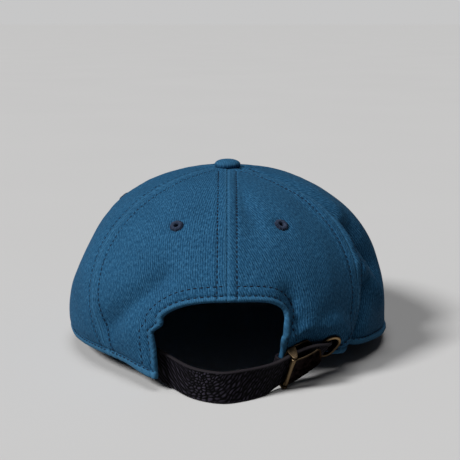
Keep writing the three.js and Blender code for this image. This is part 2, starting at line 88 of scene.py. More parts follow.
FOLDS = table(
    FOLD_COLUMNS,
    [
        (66, 84, 76, 44, 9.5, -8.5),
        (55, 82, 56, 56, 7, 2),
        (56, 54, 67.5, 32, 6, 3),
        (58.5, 42, 49, 15, 5.5, -3.5),
        (-20, 57, -42, 26, 8, -3),
        (19, 48, 22, 36, 5.5, -3),
        (18, 12, 30, 15, 9, -2.5),
        (10, 86, 12, 80, 8, -1.5),
        (-84, 62, -96, 42, 22, -3),
    ],
)
KINK_COLUMNS = ("up", "half_width", "shift")  # where the soft hem bends, and how far it is shifted there
OPENING_LEFT = SimpleNamespace(
    half=1.02, squareness=2.6,
    kinks=table(KINK_COLUMNS, [(0.182, 0.020, -3.2), (0.148, 0.014, 0.8), (0.07, 0.07, -2.2)]),
)
OPENING_RIGHT = SimpleNamespace(
    half=0.78, squareness=4.6,
    kinks=table(KINK_COLUMNS, [(0.235, 0.016, 0.5), (0.165, 0.028, -2.6), (0.118, 0.03, -3.0)]),
)
OPENING_TOP = 0.27
OPENING_SHARE = 0.5  # of its edge, from where a back panel's columns run to the top
EYELET_UP = 0.575
FLAT_SPOT = {"buckle": (14, 7), "grommet": (11.2, 8), "eyelet": (8, 6)}
SOFT_SPOT = (4.5, 9)  # an eyelet's flat spot in the finished cloth
GROMMET = SimpleNamespace(row=1.66, up=0.05, long=5.6, wide=4.2, wall=0.6)
BUTTON = SimpleNamespace(radius=7.3, height=4.4, edge=1.6, stem=3.2, stem_length=3)
BUTTON_SEAT = CROWN_TOP + CLOTH / 2 + CLEARANCE
VISOR = SimpleNamespace(
    thick=3.2, half_rows=2.02, length=66, half_width=90, widest_at=76, end_swing=107, tip_height=14.5
)
STRAP = table(
    ("turn", "radius", "height", "lean", "width", "thick"),
    [
        (-29, 89.6, 15.5, 6, 16, 2.2),
        (-23, 89.2, 11.5, 4, 16, 2.2),
        (-16.5, 91.6, 8.4, 0, 16, 2.2),
        (-10.5, 99.3, 8, 0, 16, 2.2),
        (-5.5, 104, 8, 0, 16, 2.2),
        (-0.5, 105.8, 8, 0, 16, 2.2),
        (5, 102.5, 8, 0, 16, 2.2),
        (10.5, 98.2, 8.15, 5, 16, 2.2),
        (14.5, 94.6, 9.2, 16, 16, 2.2),
        (18.5, 92.6, 11.2, 23, 16, 2.2),
        (23.5, 91.7, 13.7, 24, 16, 2.2),
        (28.5, 91.8, 16, 26, 13.5, 2),
        (31.9, 91.8, 17.2, 34, 10, 1.5),
        (33.6, 91, 17.5, 38, 7.8, 1.4),
        (35.3, 87.4, 18.3, 37, 7.6, 1.4),
        (36.8, 83.8, 19.4, 37, 7.6, 1.4),
        (39, 79.5, 20.5, 38, 7.6, 1.4),
    ],
)
BUCKLE = SimpleNamespace(
    share=0.632, half_length=7.5, lower=-9.4, upper=9.9, lower_taper=4.2, upper_taper=0.2, skew=0.36,
    ear=1, ear_gap=0.9, ear_end=-2.6, base_top=-2, base=0.9, ear_top=4.6, ear_round=0.9,
    pin_x=-5.7, pin_z=3.2, pin_radius=0.6, barrel=1.35, lid=0.9, lid_end=8.4, lid_bow=0.8,
)
TAB = SimpleNamespace(low_up=0.012, high_up=0.05, inside=9, outside=0.6, thick=1.2)
PANELS = [
    SimpleNamespace(name=name, first=first, way=way, eyelet=eyelet, opening=opening)
    for name, first, way, eyelet, opening in (
        ("back_right", 0, 1, 0.87, OPENING_RIGHT),
        ("side_right", 2, 1, 0.5, None),
        ("front_right", 4, 1, 1, None),
        ("back_left", 0, -1, 0.8, OPENING_LEFT),
        ("side_left", -2, -1, 1.6, None),
        ("front_left", -4, -1, 1, None),
    )
]

# Sewing: how far rows of stitches lie from seams and edges, and what they do to the cloth
SEAM_STITCH = 4.8
HEM_STITCHES = (2.8, 7.5)
RIM_STITCH = 3.9
VISOR_STITCHES = (4, 11, 18, 25, 32, 39, 46)
HEM_RADIUS = 1.0
SEAM_SPAN = (0.03, 0.97)  # shares up between which a seam's stitches run
OPENING_MARGIN = 0.008  # share up that the back seam's stitches keep from the opening
RIM_MARGINS = (0.03, 0.02)  # section rows that the rim's stitches keep from a panel's sides
HEM_SPAN = (0.004, 0.955)  # shares of the opening's edge between which its stitches run
RIM_PITCH, HEM_PITCH, VISOR_PITCH = 1.15, 1.2, 1.1  # of those stitches, against a seam's
STITCH = SimpleNamespace(length=2.1, gap=0.6, radius=0.34, rings=5, sides=6, end=0.45, rise=0.42, sink=0.2)
RELIEF = SimpleNamespace(  # how high or deep sewing and soft swells shape the cloth
    welt=0.4, groove=0.42, seam_stitch=0.6, rim_bead=0.8, rim_stitch=0.9, hem_layer=0.35, hem_roll=0.45,
    hem_stitch=0.5, eyelet=0.55, swell=0.22, small_swell=0.10, pucker=0.10,
)
SWELL = SimpleNamespace(long=31, short=13, pucker=5.5)  # lengths of the cloth's swells
WELT_EDGE = (5.4, 8.5)  # distances from a seam over which its doubled cloth ends
RIM_BEAD = (1.6, 2.0)  # middle and half width of the rolled rim, from its edge
HEM_ROLL = (1.2, 1.6)  # the same of the opening's hem, and of the visor's edge
# Folds that only the look has, besides those of the solids; the last two deepen the dent at the right
FINE_FOLDS = table(
    FOLD_COLUMNS,
    [
        (-21, 55, -41, 28, 4.5, -1.3),
        (20.6, 45, 20.4, 29, 2.6, -2.0),
        (57.5, 43, 49, 15, 2.2, -2.4),
        (58, 84, 57, 62, 2.4, 1.0),
        (57, 50, 66, 34, 2.4, 1.2),
        (56.5, 56, 57, 54.5, 6, -2.2),
        (63.5, 86, 65, 68, 4, -4),
        (72, 70, 78, 50, 9, -7.2),
        (77, 66, 81, 46, 7, -4.5),
    ],
)

# The cap's axis stands in the middle of its button, and the button's top gives the height.
low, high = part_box("button")
AXIS = np.array((
    (low.x + high.x) / 2,
    (low.y + high.y) / 2,
    high.z - (BUTTON_SEAT + BUTTON.height) * MM,
))


def in_frame(points):
    return np.asarray(points) * MM + AXIS


def length_of(vectors):
    return np.linalg.norm(vectors, axis=-1)


def unit(vectors):
    return vectors / length_of(vectors)[..., None]


def dot(a, b):
    return (a * b).sum(-1)


def smoothstep(value, start, end):
    share = np.clip((value - start) / (end - start), 0, 1)
    return share * share * (3 - 2 * share)


def bump_at(distance, middle, half_width):
    return np.exp(-(((distance - middle) / half_width) ** 2))


def lerp(start, end, share):
    return start + (end - start) * share


def half_round(distance, middle, half_width):
    """Height of a half-round bead, as a share of its top, by the distance across it."""
    return np.sqrt(np.clip(1 - ((distance - middle) / half_width) ** 2, 0, 1))


def full_turn(count):
    """Evenly spaced angles round a circle."""
    return 2 * math.pi * np.arange(count) / count


def half_turn(count):
    """Evenly spaced angles inside half a circle, without its ends."""
    return math.pi * np.arange(1, count + 1) / (count + 1)


def sampled(rows, places, at):
    """Rows of values, read between their own places."""
    return np.stack([np.interp(at, places, column) for column in rows.T], -1)


def smooth_between(before, start, end, after, share):
    """Smooth curve through four evenly spaced values, between the middle two."""
    bend = 2 * before - 5 * start + 4 * end - after
    twist = 3 * (start - end) + after - before
    return start + 0.5 * share * (end - before + share * (bend + share * twist))


# The crown's surface

def section(column, row):
    """A column of the section table at fractional rows of the closed ring of sections."""
    values = SECTIONS[column]
    first = np.floor(row).astype(int)

    def at(index):
        full_turns = index // len(values)
        return values[index % len(values)] + (360 * full_turns if column.endswith("turn") else 0)

    return smooth_between(at(first - 1), at(first), at(first + 1), at(first + 2), row - first)


def fold_lift(turn, height, folds):
    """How far folds move the cloth at turns and heights."""
    wrapped = np.where(turn > 180, turn - 360, turn)
    lift = np.zeros_like(height)
    for fold in zip(*(folds[column] for column in FOLD_COLUMNS)):
        from_turn, from_height, to_turn, to_height, half_width, fold_height = fold
        run = math.radians(to_turn - from_turn) * FOLD_RADIUS
        rise = to_height - from_height
        side = np.radians(wrapped - from_turn) * FOLD_RADIUS
        climb = height - from_height
        share = np.clip((side * run + climb * rise) / (run * run + rise * rise), 0, 1)
        distance = np.hypot(side - share * run, climb - share * rise)
        lift += fold_height * bump_at(distance, 0, half_width)
    return lift


cloth_folds = [FOLDS]
flat_spots = []


def press_flat(points):
    """Points moved onto the flat spots where hard pieces press the cloth."""
    for spot in flat_spots:
        height = dot(points - spot.center, spot.normal)
        away = length_of(points - spot.center)
        hold = 1 - smoothstep(away, spot.reach, spot.reach + spot.fade)
        moved = np.maximum(height, 0) if spot.holds_back else height
        points = points - (hold * moved)[..., None] * spot.normal
    return points


def add_flat_spot(center, normal, size, holds_back=False):
    reach, fade = size
    spot = SimpleNamespace(center=center, normal=normal, reach=reach, fade=fade, holds_back=holds_back)
    flat_spots.append(spot)


def around_crown(turn, radius, height):
    angle = np.radians(turn)
    return np.stack((radius * np.sin(angle), -radius * np.cos(angle), height + 0 * angle), -1)


def crown_point(row, up):
    """Points on the middle of the crown's cloth, at section rows and shares of the way up."""
    row, up = np.broadcast_arrays(np.asarray(row, float), np.asarray(up, float))
    belly_radius = section("belly_radius", row)
    belly_height = section("belly_height", row)
    power = 2 / section("shoulder", row)
    below = np.clip(1 - up / BELLY_SHARE, 0, 1)
    last = np.arccos((TOP_HOLE / belly_radius) ** (1 / power))
    angle = last * np.clip((up - BELLY_SHARE) / (1 - BELLY_SHARE), 0, 1)
    radius = belly_radius * np.cos(angle) ** power
    radius -= (belly_radius - section("rim_radius", row)) * below**2
    height = belly_height + (CROWN_TOP - belly_height) * np.sin(angle) ** power
    height -= (belly_height - section("rim_height", row)) * below
    top_turn = section("top_turn", row)
    turn = top_turn + (section("rim_turn", row) - top_turn) * (1 - up) ** RIM_PULL
    point = around_crown(turn, radius, height)
    lift = sum(fold_lift(turn, height, strokes) for strokes in cloth_folds)
    return press_flat(point + unit(point - CROWN_HEART) * lift[..., None])


STEP = 0.01  # in section rows or shares up, over which the crown's slopes are taken
SLIDES = 3


def crown_along(row, up):
    return (crown_point(row + STEP, up) - crown_point(row - STEP, up)) / (2 * STEP)


def crown_upward(row, up):
    top = np.minimum(up + STEP, 1)
    bottom = np.maximum(up - STEP, 0)
    return (crown_point(row, top) - crown_point(row, bottom)) / np.asarray(top - bottom)[..., None]


def crown_normal(row, up):
    return unit(np.cross(crown_along(row, up), crown_upward(row, up)))


def slide_to(row, up, targets):
    """Section rows and shares whose crown points lie nearest to targets."""
    for _ in range(SLIDES):
        gap = targets - crown_point(row, up)
        along = crown_along(row, up)
        upward = crown_upward(row, up)
        aa, ab, bb = dot(along, along), dot(along, upward), dot(upward, upward)
        ga, gb = dot(gap, along), dot(gap, upward)
        whole = aa * bb - ab * ab
        row = row + (ga * bb - gb * ab) / whole
        up = np.clip(up + (gb * aa - ga * ab) / whole, 0, 1)
    return row, up


def place_on_crown(row, up):
    """Outer face of the cloth at one place: its point and directions across, up and outward."""
    normal = crown_normal(row, up)
    across = unit(np.cross(crown_upward(row, up), normal))
    center = crown_point(row, up) + normal * CLOTH / 2
    return SimpleNamespace(center=center, across=across, upward=np.cross(normal, across), normal=normal)


# The strap's path

def strap_value(column, place):
    values = STRAP[column]
    last = len(values) - 1
    start = np.minimum(np.floor(place).astype(int), last - 1)

    def at(index):
        return values[np.clip(index, 0, last)]

    return smooth_between(at(start - 1), at(start), at(start + 1), at(start + 2), place - start)


def strap_middle(place):
    columns = (strap_value(column, place) for column in ("turn", "radius", "height"))
    return around_crown(*columns)


def strap_frame(share):
    """The strap's sections at shares of its length."""
    last = len(STRAP["turn"]) - 1
    place = np.asarray(share, float) * last
    step = 0.02
    along = unit(strap_middle(np.minimum(place + step, last)) - strap_middle(np.maximum(place - step, 0)))
    level = unit(np.stack((along[..., 1], -along[..., 0], 0 * along[..., 0]), -1))
    lean = np.radians(strap_value("lean", place))[..., None]
    outward = level * np.cos(lean) + np.cross(along, level) * np.sin(lean)
    return SimpleNamespace(
        center=strap_middle(place),
        along=along,
        across=unit(np.cross(outward, along)),
        outward=outward,
        width=strap_value("width", place),
        thick=strap_value("thick", place),
    )


def press_cloth_flat():
    """The flat spots, in the order in which the hard pieces press the cloth."""
    seat = strap_frame(BUCKLE.share)
    under = BUCKLE.base_top - BUCKLE.base - 2 * CLEARANCE - CLOTH / 2
    add_flat_spot(seat.center + seat.outward * under, seat.outward, FLAT_SPOT["buckle"], holds_back=True)
    ring = place_on_crown(GROMMET.row, GROMMET.up)
    add_flat_spot(ring.center - ring.normal * CLOTH / 2, ring.normal, FLAT_SPOT["grommet"])
    for panel in PANELS:
        row = panel.first + panel.way * panel.eyelet
        add_flat_spot(crown_point(row, EYELET_UP), crown_normal(row, EYELET_UP), FLAT_SPOT["eyelet"])
    return ring


def soften_eyelet_spots():
    """Smaller flat spots under the eyelets, with wider slopes round them."""
    for spot in flat_spots[-len(PANELS):]:
        spot.reach, spot.fade = SOFT_SPOT


grommet_place = press_cloth_flat()
cloth_folds.append(FINE_FOLDS)
soften_eyelet_spots()


# Meshes

def new_object(name, data):
    obj = bpy.data.objects.new(name, data)
    bpy.context.collection.objects.link(obj)
    return obj


def make_piece(name, points, faces, look, slot, *nodes, body=CAP_BODY, uv=None, **attributes):
    """A piece that stands for nodes, with a weave map in millimetres and values on its points."""
    points = in_frame(points).reshape(-1, 3)
    used = np.unique(np.concatenate([np.ravel(face) for face in faces]))
    renumber = np.zeros(len(points), int)
    renumber[used] = np.arange(len(used))
    mesh = bpy.data.meshes.new(name)
    faces = [renumber[np.asarray(face)].tolist() for face in faces]
    mesh.from_pydata(points[used].tolist(), [], faces)
    if uv is not None:
        corner = np.empty(len(mesh.loops), int)
        mesh.loops.foreach_get("vertex_index", corner)
        layer = mesh.uv_layers.new(name="Weave")
        layer.data.foreach_set("uv", np.reshape(uv, (-1, 2))[used][corner].ravel())
    for key, values in attributes.items():
        layer = mesh.attributes.new(key, "FLOAT", "POINT")
        layer.data.foreach_set("value", np.ravel(values).astype(float)[used])
    mesh.shade_smooth()
    mesh.materials.append(look)
    obj = new_object(name, mesh)
    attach(obj, body)
    if nodes:
        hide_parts(*nodes)


def numbered(shape, first=0):
    """Numbers of a grid's points, row by row."""
    return first + np.arange(math.prod(shape)).reshape(shape)


def cells(index, ring=False, wrap=False):
    """Quads of a grid of point numbers, which ring closes along its first way and wrap along its second."""
    if ring:
        index = np.concatenate((index, index[:1]))
    if wrap:
        index = np.concatenate((index, index[:, :1]), 1)
    corners = (index[:-1, :-1], index[1:, :-1], index[1:, 1:], index[:-1, 1:])
    return np.stack(corners, -1).reshape(-1, 4)


def tube_faces(first, rings, sides):
    """Faces of a closed tube whose points are numbered ring by ring from first."""
    index = numbered((rings, sides), first)
    return [*cells(index, wrap=True)[:, ::-1], index[0], index[-1][::-1]]


def rings_round(path, side, normal, radius, sides):
    """Rings of points round the points of a path."""
    angles = full_turn(sides)[:, None]
    ring = side[..., None, :] * np.cos(angles) + normal[..., None, :] * np.sin(angles)
    return path[..., None, :] + ring * np.asarray(radius)[..., None, None]


LINE_PARTS = 24  # in which a line is compared with points, to save memory


def distance_to(points, line):
    """Distance from points to the nearest of a line's points."""
    flat = points.reshape(-1, 3)
    nearest = np.full(len(flat), np.inf)
    for part in np.array_split(line, LINE_PARTS):
        nearest = np.minimum(nearest, ((flat[:, None] - part) ** 2).sum(-1).min(1))
    return np.sqrt(nearest).reshape(points.shape[:-1])


def path_length(points):
    steps = length_of(np.diff(points, axis=0))
    return np.concatenate(([0], np.cumsum(steps)))


def ripple(points, wave_length):
    """Gentle uneven swell of cloth, from -1 to 1."""
    k = 2 * math.pi / wave_length
    x, y, z = points[..., 0], points[..., 1], points[..., 2]
    first = np.sin(k * (0.8 * x + 0.5 * z) + 1.3 * np.sin(k * 0.43 * (y - z)))
    second = np.sin(k * (0.6 * y - 0.7 * z + 0.35 * x) + 1.1 * np.sin(k * 0.37 * (x + z)))
    return (first + second) / 2


# Materials

def add_node(tree, kind, inputs=None, **settings):
    made = tree.nodes.new(kind)
    for key, value in settings.items():
        setattr(made, key, value)
    for key, value in (inputs or {}).items():
        if isinstance(value, bpy.types.NodeSocket):
            tree.links.new(value, made.inputs[key])
        else:
            made.inputs[key].default_value = value
    return made


def new_material(name, **shader_values):
    material = bpy.data.materials.new(name)
    material.use_nodes = True
    tree = material.node_tree
    shader = tree.nodes["Principled BSDF"]
    for key, value in shader_values.items():
        shader.inputs[key.replace("_", " ")].default_value = value
    return material, tree, shader


def mix_colours(tree, factor, first, second, blend="MIX"):
    inputs = {"Factor": factor, 6: first, 7: second}
    return add_node(tree, "ShaderNodeMix", inputs, data_type="RGBA", blend_type=blend).outputs[2]


def math_node(tree, operation, first, second):
    return add_node(tree, "ShaderNodeMath", {0: first, 1: second}, operation=operation).outputs[0]


def map_range(tree, value, low, high, to_low, to_high):
    inputs = {"Value": value, 1: low, 2: high, 3: to_low, 4: to_high}
    return add_node(tree, "ShaderNodeMapRange", inputs).outputs[0]


def noise(tree, vector, scale, detail=2.0, roughness=0.5):
    inputs = {"Vector": vector, "Scale": scale, "Detail": detail, "Roughness": roughness}
    return add_node(tree, "ShaderNodeTexNoise", inputs).outputs[0]


def set_bump(tree, shader, height, distance, strength):
    inputs = {"Height": height, "Distance": distance, "Strength": strength}
    tree.links.new(add_node(tree, "ShaderNodeBump", inputs).outputs[0], shader.inputs["Normal"])


def point_value(tree, name):
    return add_node(tree, "ShaderNodeAttribute", attribute_name=name).outputs["Fac"]


def object_place(tree):
    return add_node(tree, "ShaderNodeTexCoord").outputs["Object"]


def set_surface(tree, shader, colour, roughness):
    tree.links.new(colour, shader.inputs["Base Color"])
    tree.links.new(roughness, shader.inputs["Roughness"])


CLOTH_DARK = (0.004, 0.029, 0.069, 1)
CLOTH_MAIN = (0.016, 0.084, 0.177, 1)
CLOTH_LIGHT = (0.046, 0.170, 0.312, 1)
# The colour of rubbed wear on raised edges, which also paints a highlight along the seams, rim bead and hem
# roll
CLOTH_WEAR_AND_HIGHLIGHT = (0.055, 0.185, 0.325, 1)
TWILL_PERIOD = 1.15
TWILL_ANGLE = math.radians(-14)
WAVE_PERIOD = 2 * math.pi / 20  # of Blender's wave texture at scale 1
FLECK_STRETCH = (1.5, 0.6, 1)  # draws the yarn's flecks out along the ribs
FLECK_SHARE, RIB_SHARE = 0.62, 0.38  # of the yarn's light and dark
WEAR_AND_HIGHLIGHT_SHARE = 0.65


def cloth_material():
    material, tree, shader = new_material(
        "cloth_twill", Sheen_Weight=0.04, Sheen_Roughness=0.45, Sheen_Tint=(0.35, 0.65, 0.9, 1),
        Specular_IOR_Level=0.08,
    )
    weave = add_node(tree, "ShaderNodeUVMap", uv_map="Weave").outputs[0]
    turned = add_node(
        tree, "ShaderNodeMapping", {"Vector": weave, "Rotation": (0, 0, TWILL_ANGLE)}
    ).outputs[0]
    ribs = add_node(
        tree, "ShaderNodeTexWave",
        {"Vector": turned, "Scale": WAVE_PERIOD / TWILL_PERIOD, "Distortion": 1.6, "Detail": 2.0,
         "Detail Scale": 1.4},
    ).outputs[1]
    drawn = add_node(tree, "ShaderNodeMapping", {"Vector": turned, "Scale": FLECK_STRETCH}).outputs[0]
    heather = noise(tree, drawn, 0.9, 3.0, 0.65)
    slubs = noise(tree, drawn, 0.45, 2.0)
    broad = noise(tree, weave, 0.03, 2.0)
    worn_and_highlighted = point_value(tree, "wear")
    flecks = map_range(tree, heather, 0.34, 0.66, 0, FLECK_SHARE)
    yarn = math_node(tree, "ADD", flecks, math_node(tree, "MULTIPLY", ribs, RIB_SHARE))
    dark_to_main = mix_colours(tree, map_range(tree, yarn, 0.0, 0.52, 0, 1), CLOTH_DARK, CLOTH_MAIN)
    colour = mix_colours(tree, map_range(tree, yarn, 0.5, 1.0, 0, 1), dark_to_main, CLOTH_LIGHT)
    colour = mix_colours(tree, map_range(tree, slubs, 0.55, 0.8, 0, 0.35), colour, CLOTH_LIGHT)
    colour = mix_colours(tree, map_range(tree, broad, 0.35, 0.65, 0, 0.22), colour, CLOTH_DARK)
    # Raised edges lighter: rubbed wear, and a painted highlight along the seams, rim bead and hem roll
    colour = mix_colours(tree, math_node(tree, "MULTIPLY", worn_and_highlighted, WEAR_AND_HIGHLIGHT_SHARE), colour, CLOTH_WEAR_AND_HIGHLIGHT)
    set_surface(tree, shader, colour, map_range(tree, yarn, 0, 1, 0.92, 0.74))
    set_bump(tree, shader, yarn, 0.28 * MM, 0.8)
    return material


BACK_THREAD = ((0.0025, 0.005, 0.014, 1), (0.007, 0.014, 0.034, 1))
SIDE_THREAD = ((0.004, 0.016, 0.038, 1), (0.010, 0.034, 0.074, 1))
EYELET_THREAD = ((0.012, 0.020, 0.042, 1), (0.050, 0.070, 0.122, 1))


def thread_material(name, dark, light):
    material, tree, shader = new_material(name, Specular_IOR_Level=0.15)
    place = object_place(tree)
    fibre = noise(tree, place, 2600, 2.0)
    colour = mix_colours(tree, map_range(tree, fibre, 0.3, 0.7, 0, 1), dark, light)
    set_surface(tree, shader, colour, map_range(tree, fibre, 0.3, 0.7, 0.8, 0.6))
    set_bump(tree, shader, fibre, 0.05 * MM, 0.5)
    return material


# Painted shade in the creases between pebbles, a painted highlight on their tops and along the cut edges
LEATHER_CREASE_SHADE = (0.0003, 0.0003, 0.0004, 1)
LEATHER_TOP_HIGHLIGHT = (0.0460, 0.0395, 0.0600, 1)
LEATHER_EDGE_HIGHLIGHT = (0.024, 0.021, 0.023, 1)


def leather_material():
    material, tree, shader = new_material("black_leather", Specular_IOR_Level=0.05)
    weave = add_node(tree, "ShaderNodeUVMap", uv_map="Weave").outputs[0]
    grain = point_value(tree, "grain")
    edge = point_value(tree, "edge")
    pores = noise(tree, weave, 5.0, 3.0, 0.6)
    # Pebble tops painted light as a highlight, creases painted near black as shade
    painted_top_highlight = math_node(tree, "POWER", grain, 2.6)
    tone = math_node(tree, "MULTIPLY", painted_top_highlight, map_range(tree, pores, 0.3, 0.7, 0.6, 1.0))
    colour = mix_colours(tree, tone, LEATHER_CREASE_SHADE, LEATHER_TOP_HIGHLIGHT)
    # A painted highlight along the strap's cut edges
    colour = mix_colours(tree, edge, colour, LEATHER_EDGE_HIGHLIGHT)
    set_surface(tree, shader, colour, map_range(tree, tone, 0, 1, 0.62, 0.40))
    set_bump(tree, shader, pores, 0.06 * MM, 0.6)
    return material


BRASS_DARK = (0.0030, 0.0024, 0.0026, 1)
BRASS_MAIN = (0.0130, 0.0100, 0.0100, 1)
# Rubbed brass, which also paints the highlight along the grommet ring's top
BRASS_WEAR_AND_HIGHLIGHT = (0.420, 0.290, 0.155, 1)


def brass_material():
    material, tree, shader = new_material("antique_brass", Metallic=1.0, Specular_Tint=(0.25, 0.21, 0.18, 1))
    place = object_place(tree)
    stains = noise(tree, place, 420, 4.0, 0.6)
    specks = noise(tree, place, 2400, 2.0)
    # Rubbed edges, and the painted highlight on the grommet ring's top, turn the brass lighter
    worn_and_highlighted = math_node(tree, "MULTIPLY", point_value(tree, "wear"), map_range(tree, specks, 0.3, 0.7, 0.6, 1))
    colour = mix_colours(tree, map_range(tree, stains, 0.35, 0.65, 0, 1), BRASS_DARK, BRASS_MAIN)
    colour = mix_colours(tree, worn_and_highlighted, colour, BRASS_WEAR_AND_HIGHLIGHT)
    set_surface(tree, shader, colour, map_range(tree, stains, 0.3, 0.7, 0.30, 0.46))
    set_bump(tree, shader, specks, 0.03 * MM, 0.35)
    return material


CLOTH_LOOK = cloth_material()
BACK_LOOK = thread_material("back_thread", *BACK_THREAD)
SIDE_LOOK = thread_material("side_thread", *SIDE_THREAD)
EYELET_LOOK = thread_material("eyelet_thread", *EYELET_THREAD)
LEATHER_LOOK = leather_material()
BRASS_LOOK = brass_material()


# Crown panels

# Where a panel's grid has its points: how far from a seam or a turned edge they lie, and how many lie between
SEAM_STOPS = (0, 0.3, 0.7, 1.2, 1.9, 2.8, 3.7, 4.2, 4.8, 5.4, 5.9, 6.9, 8.4, 10.4)
HEM_STOPS = (1.0, 1.5, 2.0, 2.4, 2.8, 3.2, 3.6, 3.9, 4.3, 5.0, 5.9, 6.8, 7.5, 8.2, 9.2, 10.6)
PANEL_COLUMNS = 62
PANEL_STEPS = 76
PANEL_LENGTH = 135
SEAM_EDGE_GAP = 0.0002
HEM_STEPS = 4
HEM_BEND_REACH = 9
MEAN_WIDTH = 0.75  # of a panel, as a share of its width at the belly
HOLE_DEPTH = 6  # how far from a hole's plane the cloth may lie that it goes through


def spaced(length, start, end, count):
    """Places along a length, at given distances from both its ends and even between those."""
    even = np.linspace(start[-1], length - end[-1], count + 2)[1:-1]
    return np.concatenate((start, even, length - np.array(end[::-1])))


def opening_edge(panel, share):
    """Edge of the back opening from the seam, at 0, to the rim, at 1, in section rows and up."""
    angle = math.pi / 2 * share
    power = 2 / panel.opening.squareness
    across = panel.opening.half * np.sin(angle) ** power
    return across, OPENING_TOP * np.abs(np.cos(angle)) ** power


def near_edge(panel):
    """The edge at which a panel's columns start, the rim or the opening, and the length along it."""
    share = np.linspace(0, 1, 600)
    across, up = opening_edge(panel, share) if panel.opening else (PANEL_ROWS * share, 0 * share)
    return across, up, path_length(crown_point(panel.first + panel.way * across, up))


def far_edge(panel, place, length):
    """Where the columns end that start at places along the near edge: at the top, or at the far seam."""
    belly = crown_point(panel.first + np.linspace(0, panel.way * PANEL_ROWS, 60), BELLY_SHARE)
    zone = SEAM_STOPS[-1]
    seam_rows = zone / (MEAN_WIDTH * path_length(belly)[-1] / PANEL_ROWS)
    if panel.opening is None:
        stops, rows = (0, zone, length - zone, length), (0, seam_rows, PANEL_ROWS - seam_rows, PANEL_ROWS)
        return np.interp(place, stops, rows), np.ones_like(place)
    corner = OPENING_SHARE * length
    across = np.interp(place, (0, zone, corner), (0, seam_rows, PANEL_ROWS))
    low_up = HEM_STOPS[-1] / PANEL_LENGTH
    return across, np.interp(place, (corner, length - HEM_STOPS[-1], length), (1, low_up, 0))


def panel_grid(panel):
    """Section rows and shares up of the panel's grid of points."""
    edge_across, edge_up, length = near_edge(panel)
    place = spaced(length[-1], SEAM_STOPS, HEM_STOPS if panel.opening else SEAM_STOPS, PANEL_COLUMNS)
    near = [np.interp(place, length, values)[:, None] for values in (edge_across, edge_up)]
    far = [values[:, None] for values in far_edge(panel, place, length[-1])]

    def at(rise):
        across = np.clip(lerp(near[0], far[0], rise), SEAM_EDGE_GAP, PANEL_ROWS - SEAM_EDGE_GAP)
        return panel.first + panel.way * across, lerp(near[1], far[1], rise)

    fine = np.linspace(0, 1, 90)
    rise = []
    for line in crown_point(*at(fine)):
        climbed = path_length(line)
        rise.append(np.interp(spaced(climbed[-1], HEM_STOPS, SEAM_STOPS, PANEL_STEPS), climbed, fine))
    row, up = at(np.array(rise))
    return row[:: panel.way], up[:: panel.way]


def panel_lines(panel):
    """The panel's seams, rim and opening as rows of points on the cloth's middle."""
    climb = np.linspace(0, 1, 480)
    end = panel.first + panel.way * PANEL_ROWS
    rim_start = panel.opening.half if panel.opening else 0
    rim_rows = panel.first + panel.way * np.linspace(rim_start, PANEL_ROWS, 360)
    lines = SimpleNamespace(
        seams=np.concatenate((crown_point(panel.first, climb), crown_point(end, climb))),
        rim=crown_point(rim_rows, 0),
        opening=None,
    )
    if panel.opening:
        across, up = opening_edge(panel, np.linspace(0, 1, 360))
        lines.opening = crown_point(panel.first + panel.way * across, up)
    return lines


def cloth_relief(panel, points):
    """How far sewing and soft swells lift the panel's outer face, and how worn it is there, with a painted
    highlight on its raised edges.
    """
    lines = panel.lines
    seam = distance_to(points, lines.seams)
    rim = distance_to(points, lines.rim)
    welt = 1 - smoothstep(seam, *WELT_EDGE)
    lift = RELIEF.welt * welt - RELIEF.groove * bump_at(seam, 0, 0.5)
    lift -= RELIEF.seam_stitch * bump_at(seam, SEAM_STITCH, 0.75)
    bead = half_round(rim, *RIM_BEAD)
    lift += RELIEF.rim_bead * bead - RELIEF.rim_stitch * bump_at(rim, RIM_STITCH, 0.6)
    # Rubbed wear on the rim bead and beside the seams, and a painted highlight along these raised edges
    worn_and_highlighted = 0.9 * bead + 0.5 * bump_at(seam, 0.9, 0.45)
    pucker = bump_at(seam, SEAM_STITCH, 2.2) + bump_at(rim, RIM_STITCH, 2.5)
    if lines.opening is not None:
        hem = distance_to(points, lines.opening)
        roll = half_round(hem, *HEM_ROLL)
        layer = 1 - smoothstep(hem, HEM_STITCHES[1], HEM_STITCHES[1] + 2)
        lift += RELIEF.hem_layer * layer + RELIEF.hem_roll * roll
        for row in HEM_STITCHES:
            lift -= RELIEF.hem_stitch * bump_at(hem, row, 0.7)
            pucker = pucker + bump_at(hem, row, 2.2)
        # The hem's roll gets the same wear and painted highlight
        worn_and_highlighted = worn_and_highlighted + 0.45 * roll
    from_eyelet = length_of(points - panel.eyelet_place.center)
    lift -= RELIEF.eyelet * bump_at(from_eyelet, 3.9, 0.8)
    lift += RELIEF.swell * ripple(points, SWELL.long) + RELIEF.small_swell * ripple(points, SWELL.short)
    lift += RELIEF.pucker * np.clip(pucker, 0, 1) * ripple(points, SWELL.pucker)
    return lift, np.clip(worn_and_highlighted, 0, 1)


def hem_bend(panel, row, up, points):
    """How the soft hem bends sideways beside the opening."""
    if panel.opening is None:
        return np.zeros_like(points)
    hold = bump_at(distance_to(points, panel.lines.opening), 0, HEM_BEND_REACH)
    shift = np.zeros_like(hold)
    for kink_up, half_width, kink_shift in zip(*panel.opening.kinks.values()):
        shift += kink_shift * bump_at(up, kink_up, half_width)
    return unit(crown_along(row, up)) * (panel.way * shift * hold)[..., None]


def outer_point(panel, row, up):
    """Points of the panel's finished outer face, with their outward directions."""
    middle = crown_point(row, up)
    normal = crown_normal(row, up)
    lift, _ = cloth_relief(panel, middle)
    return middle + hem_bend(panel, row, up, middle) + normal * (CLOTH / 2 + lift)[..., None], normal


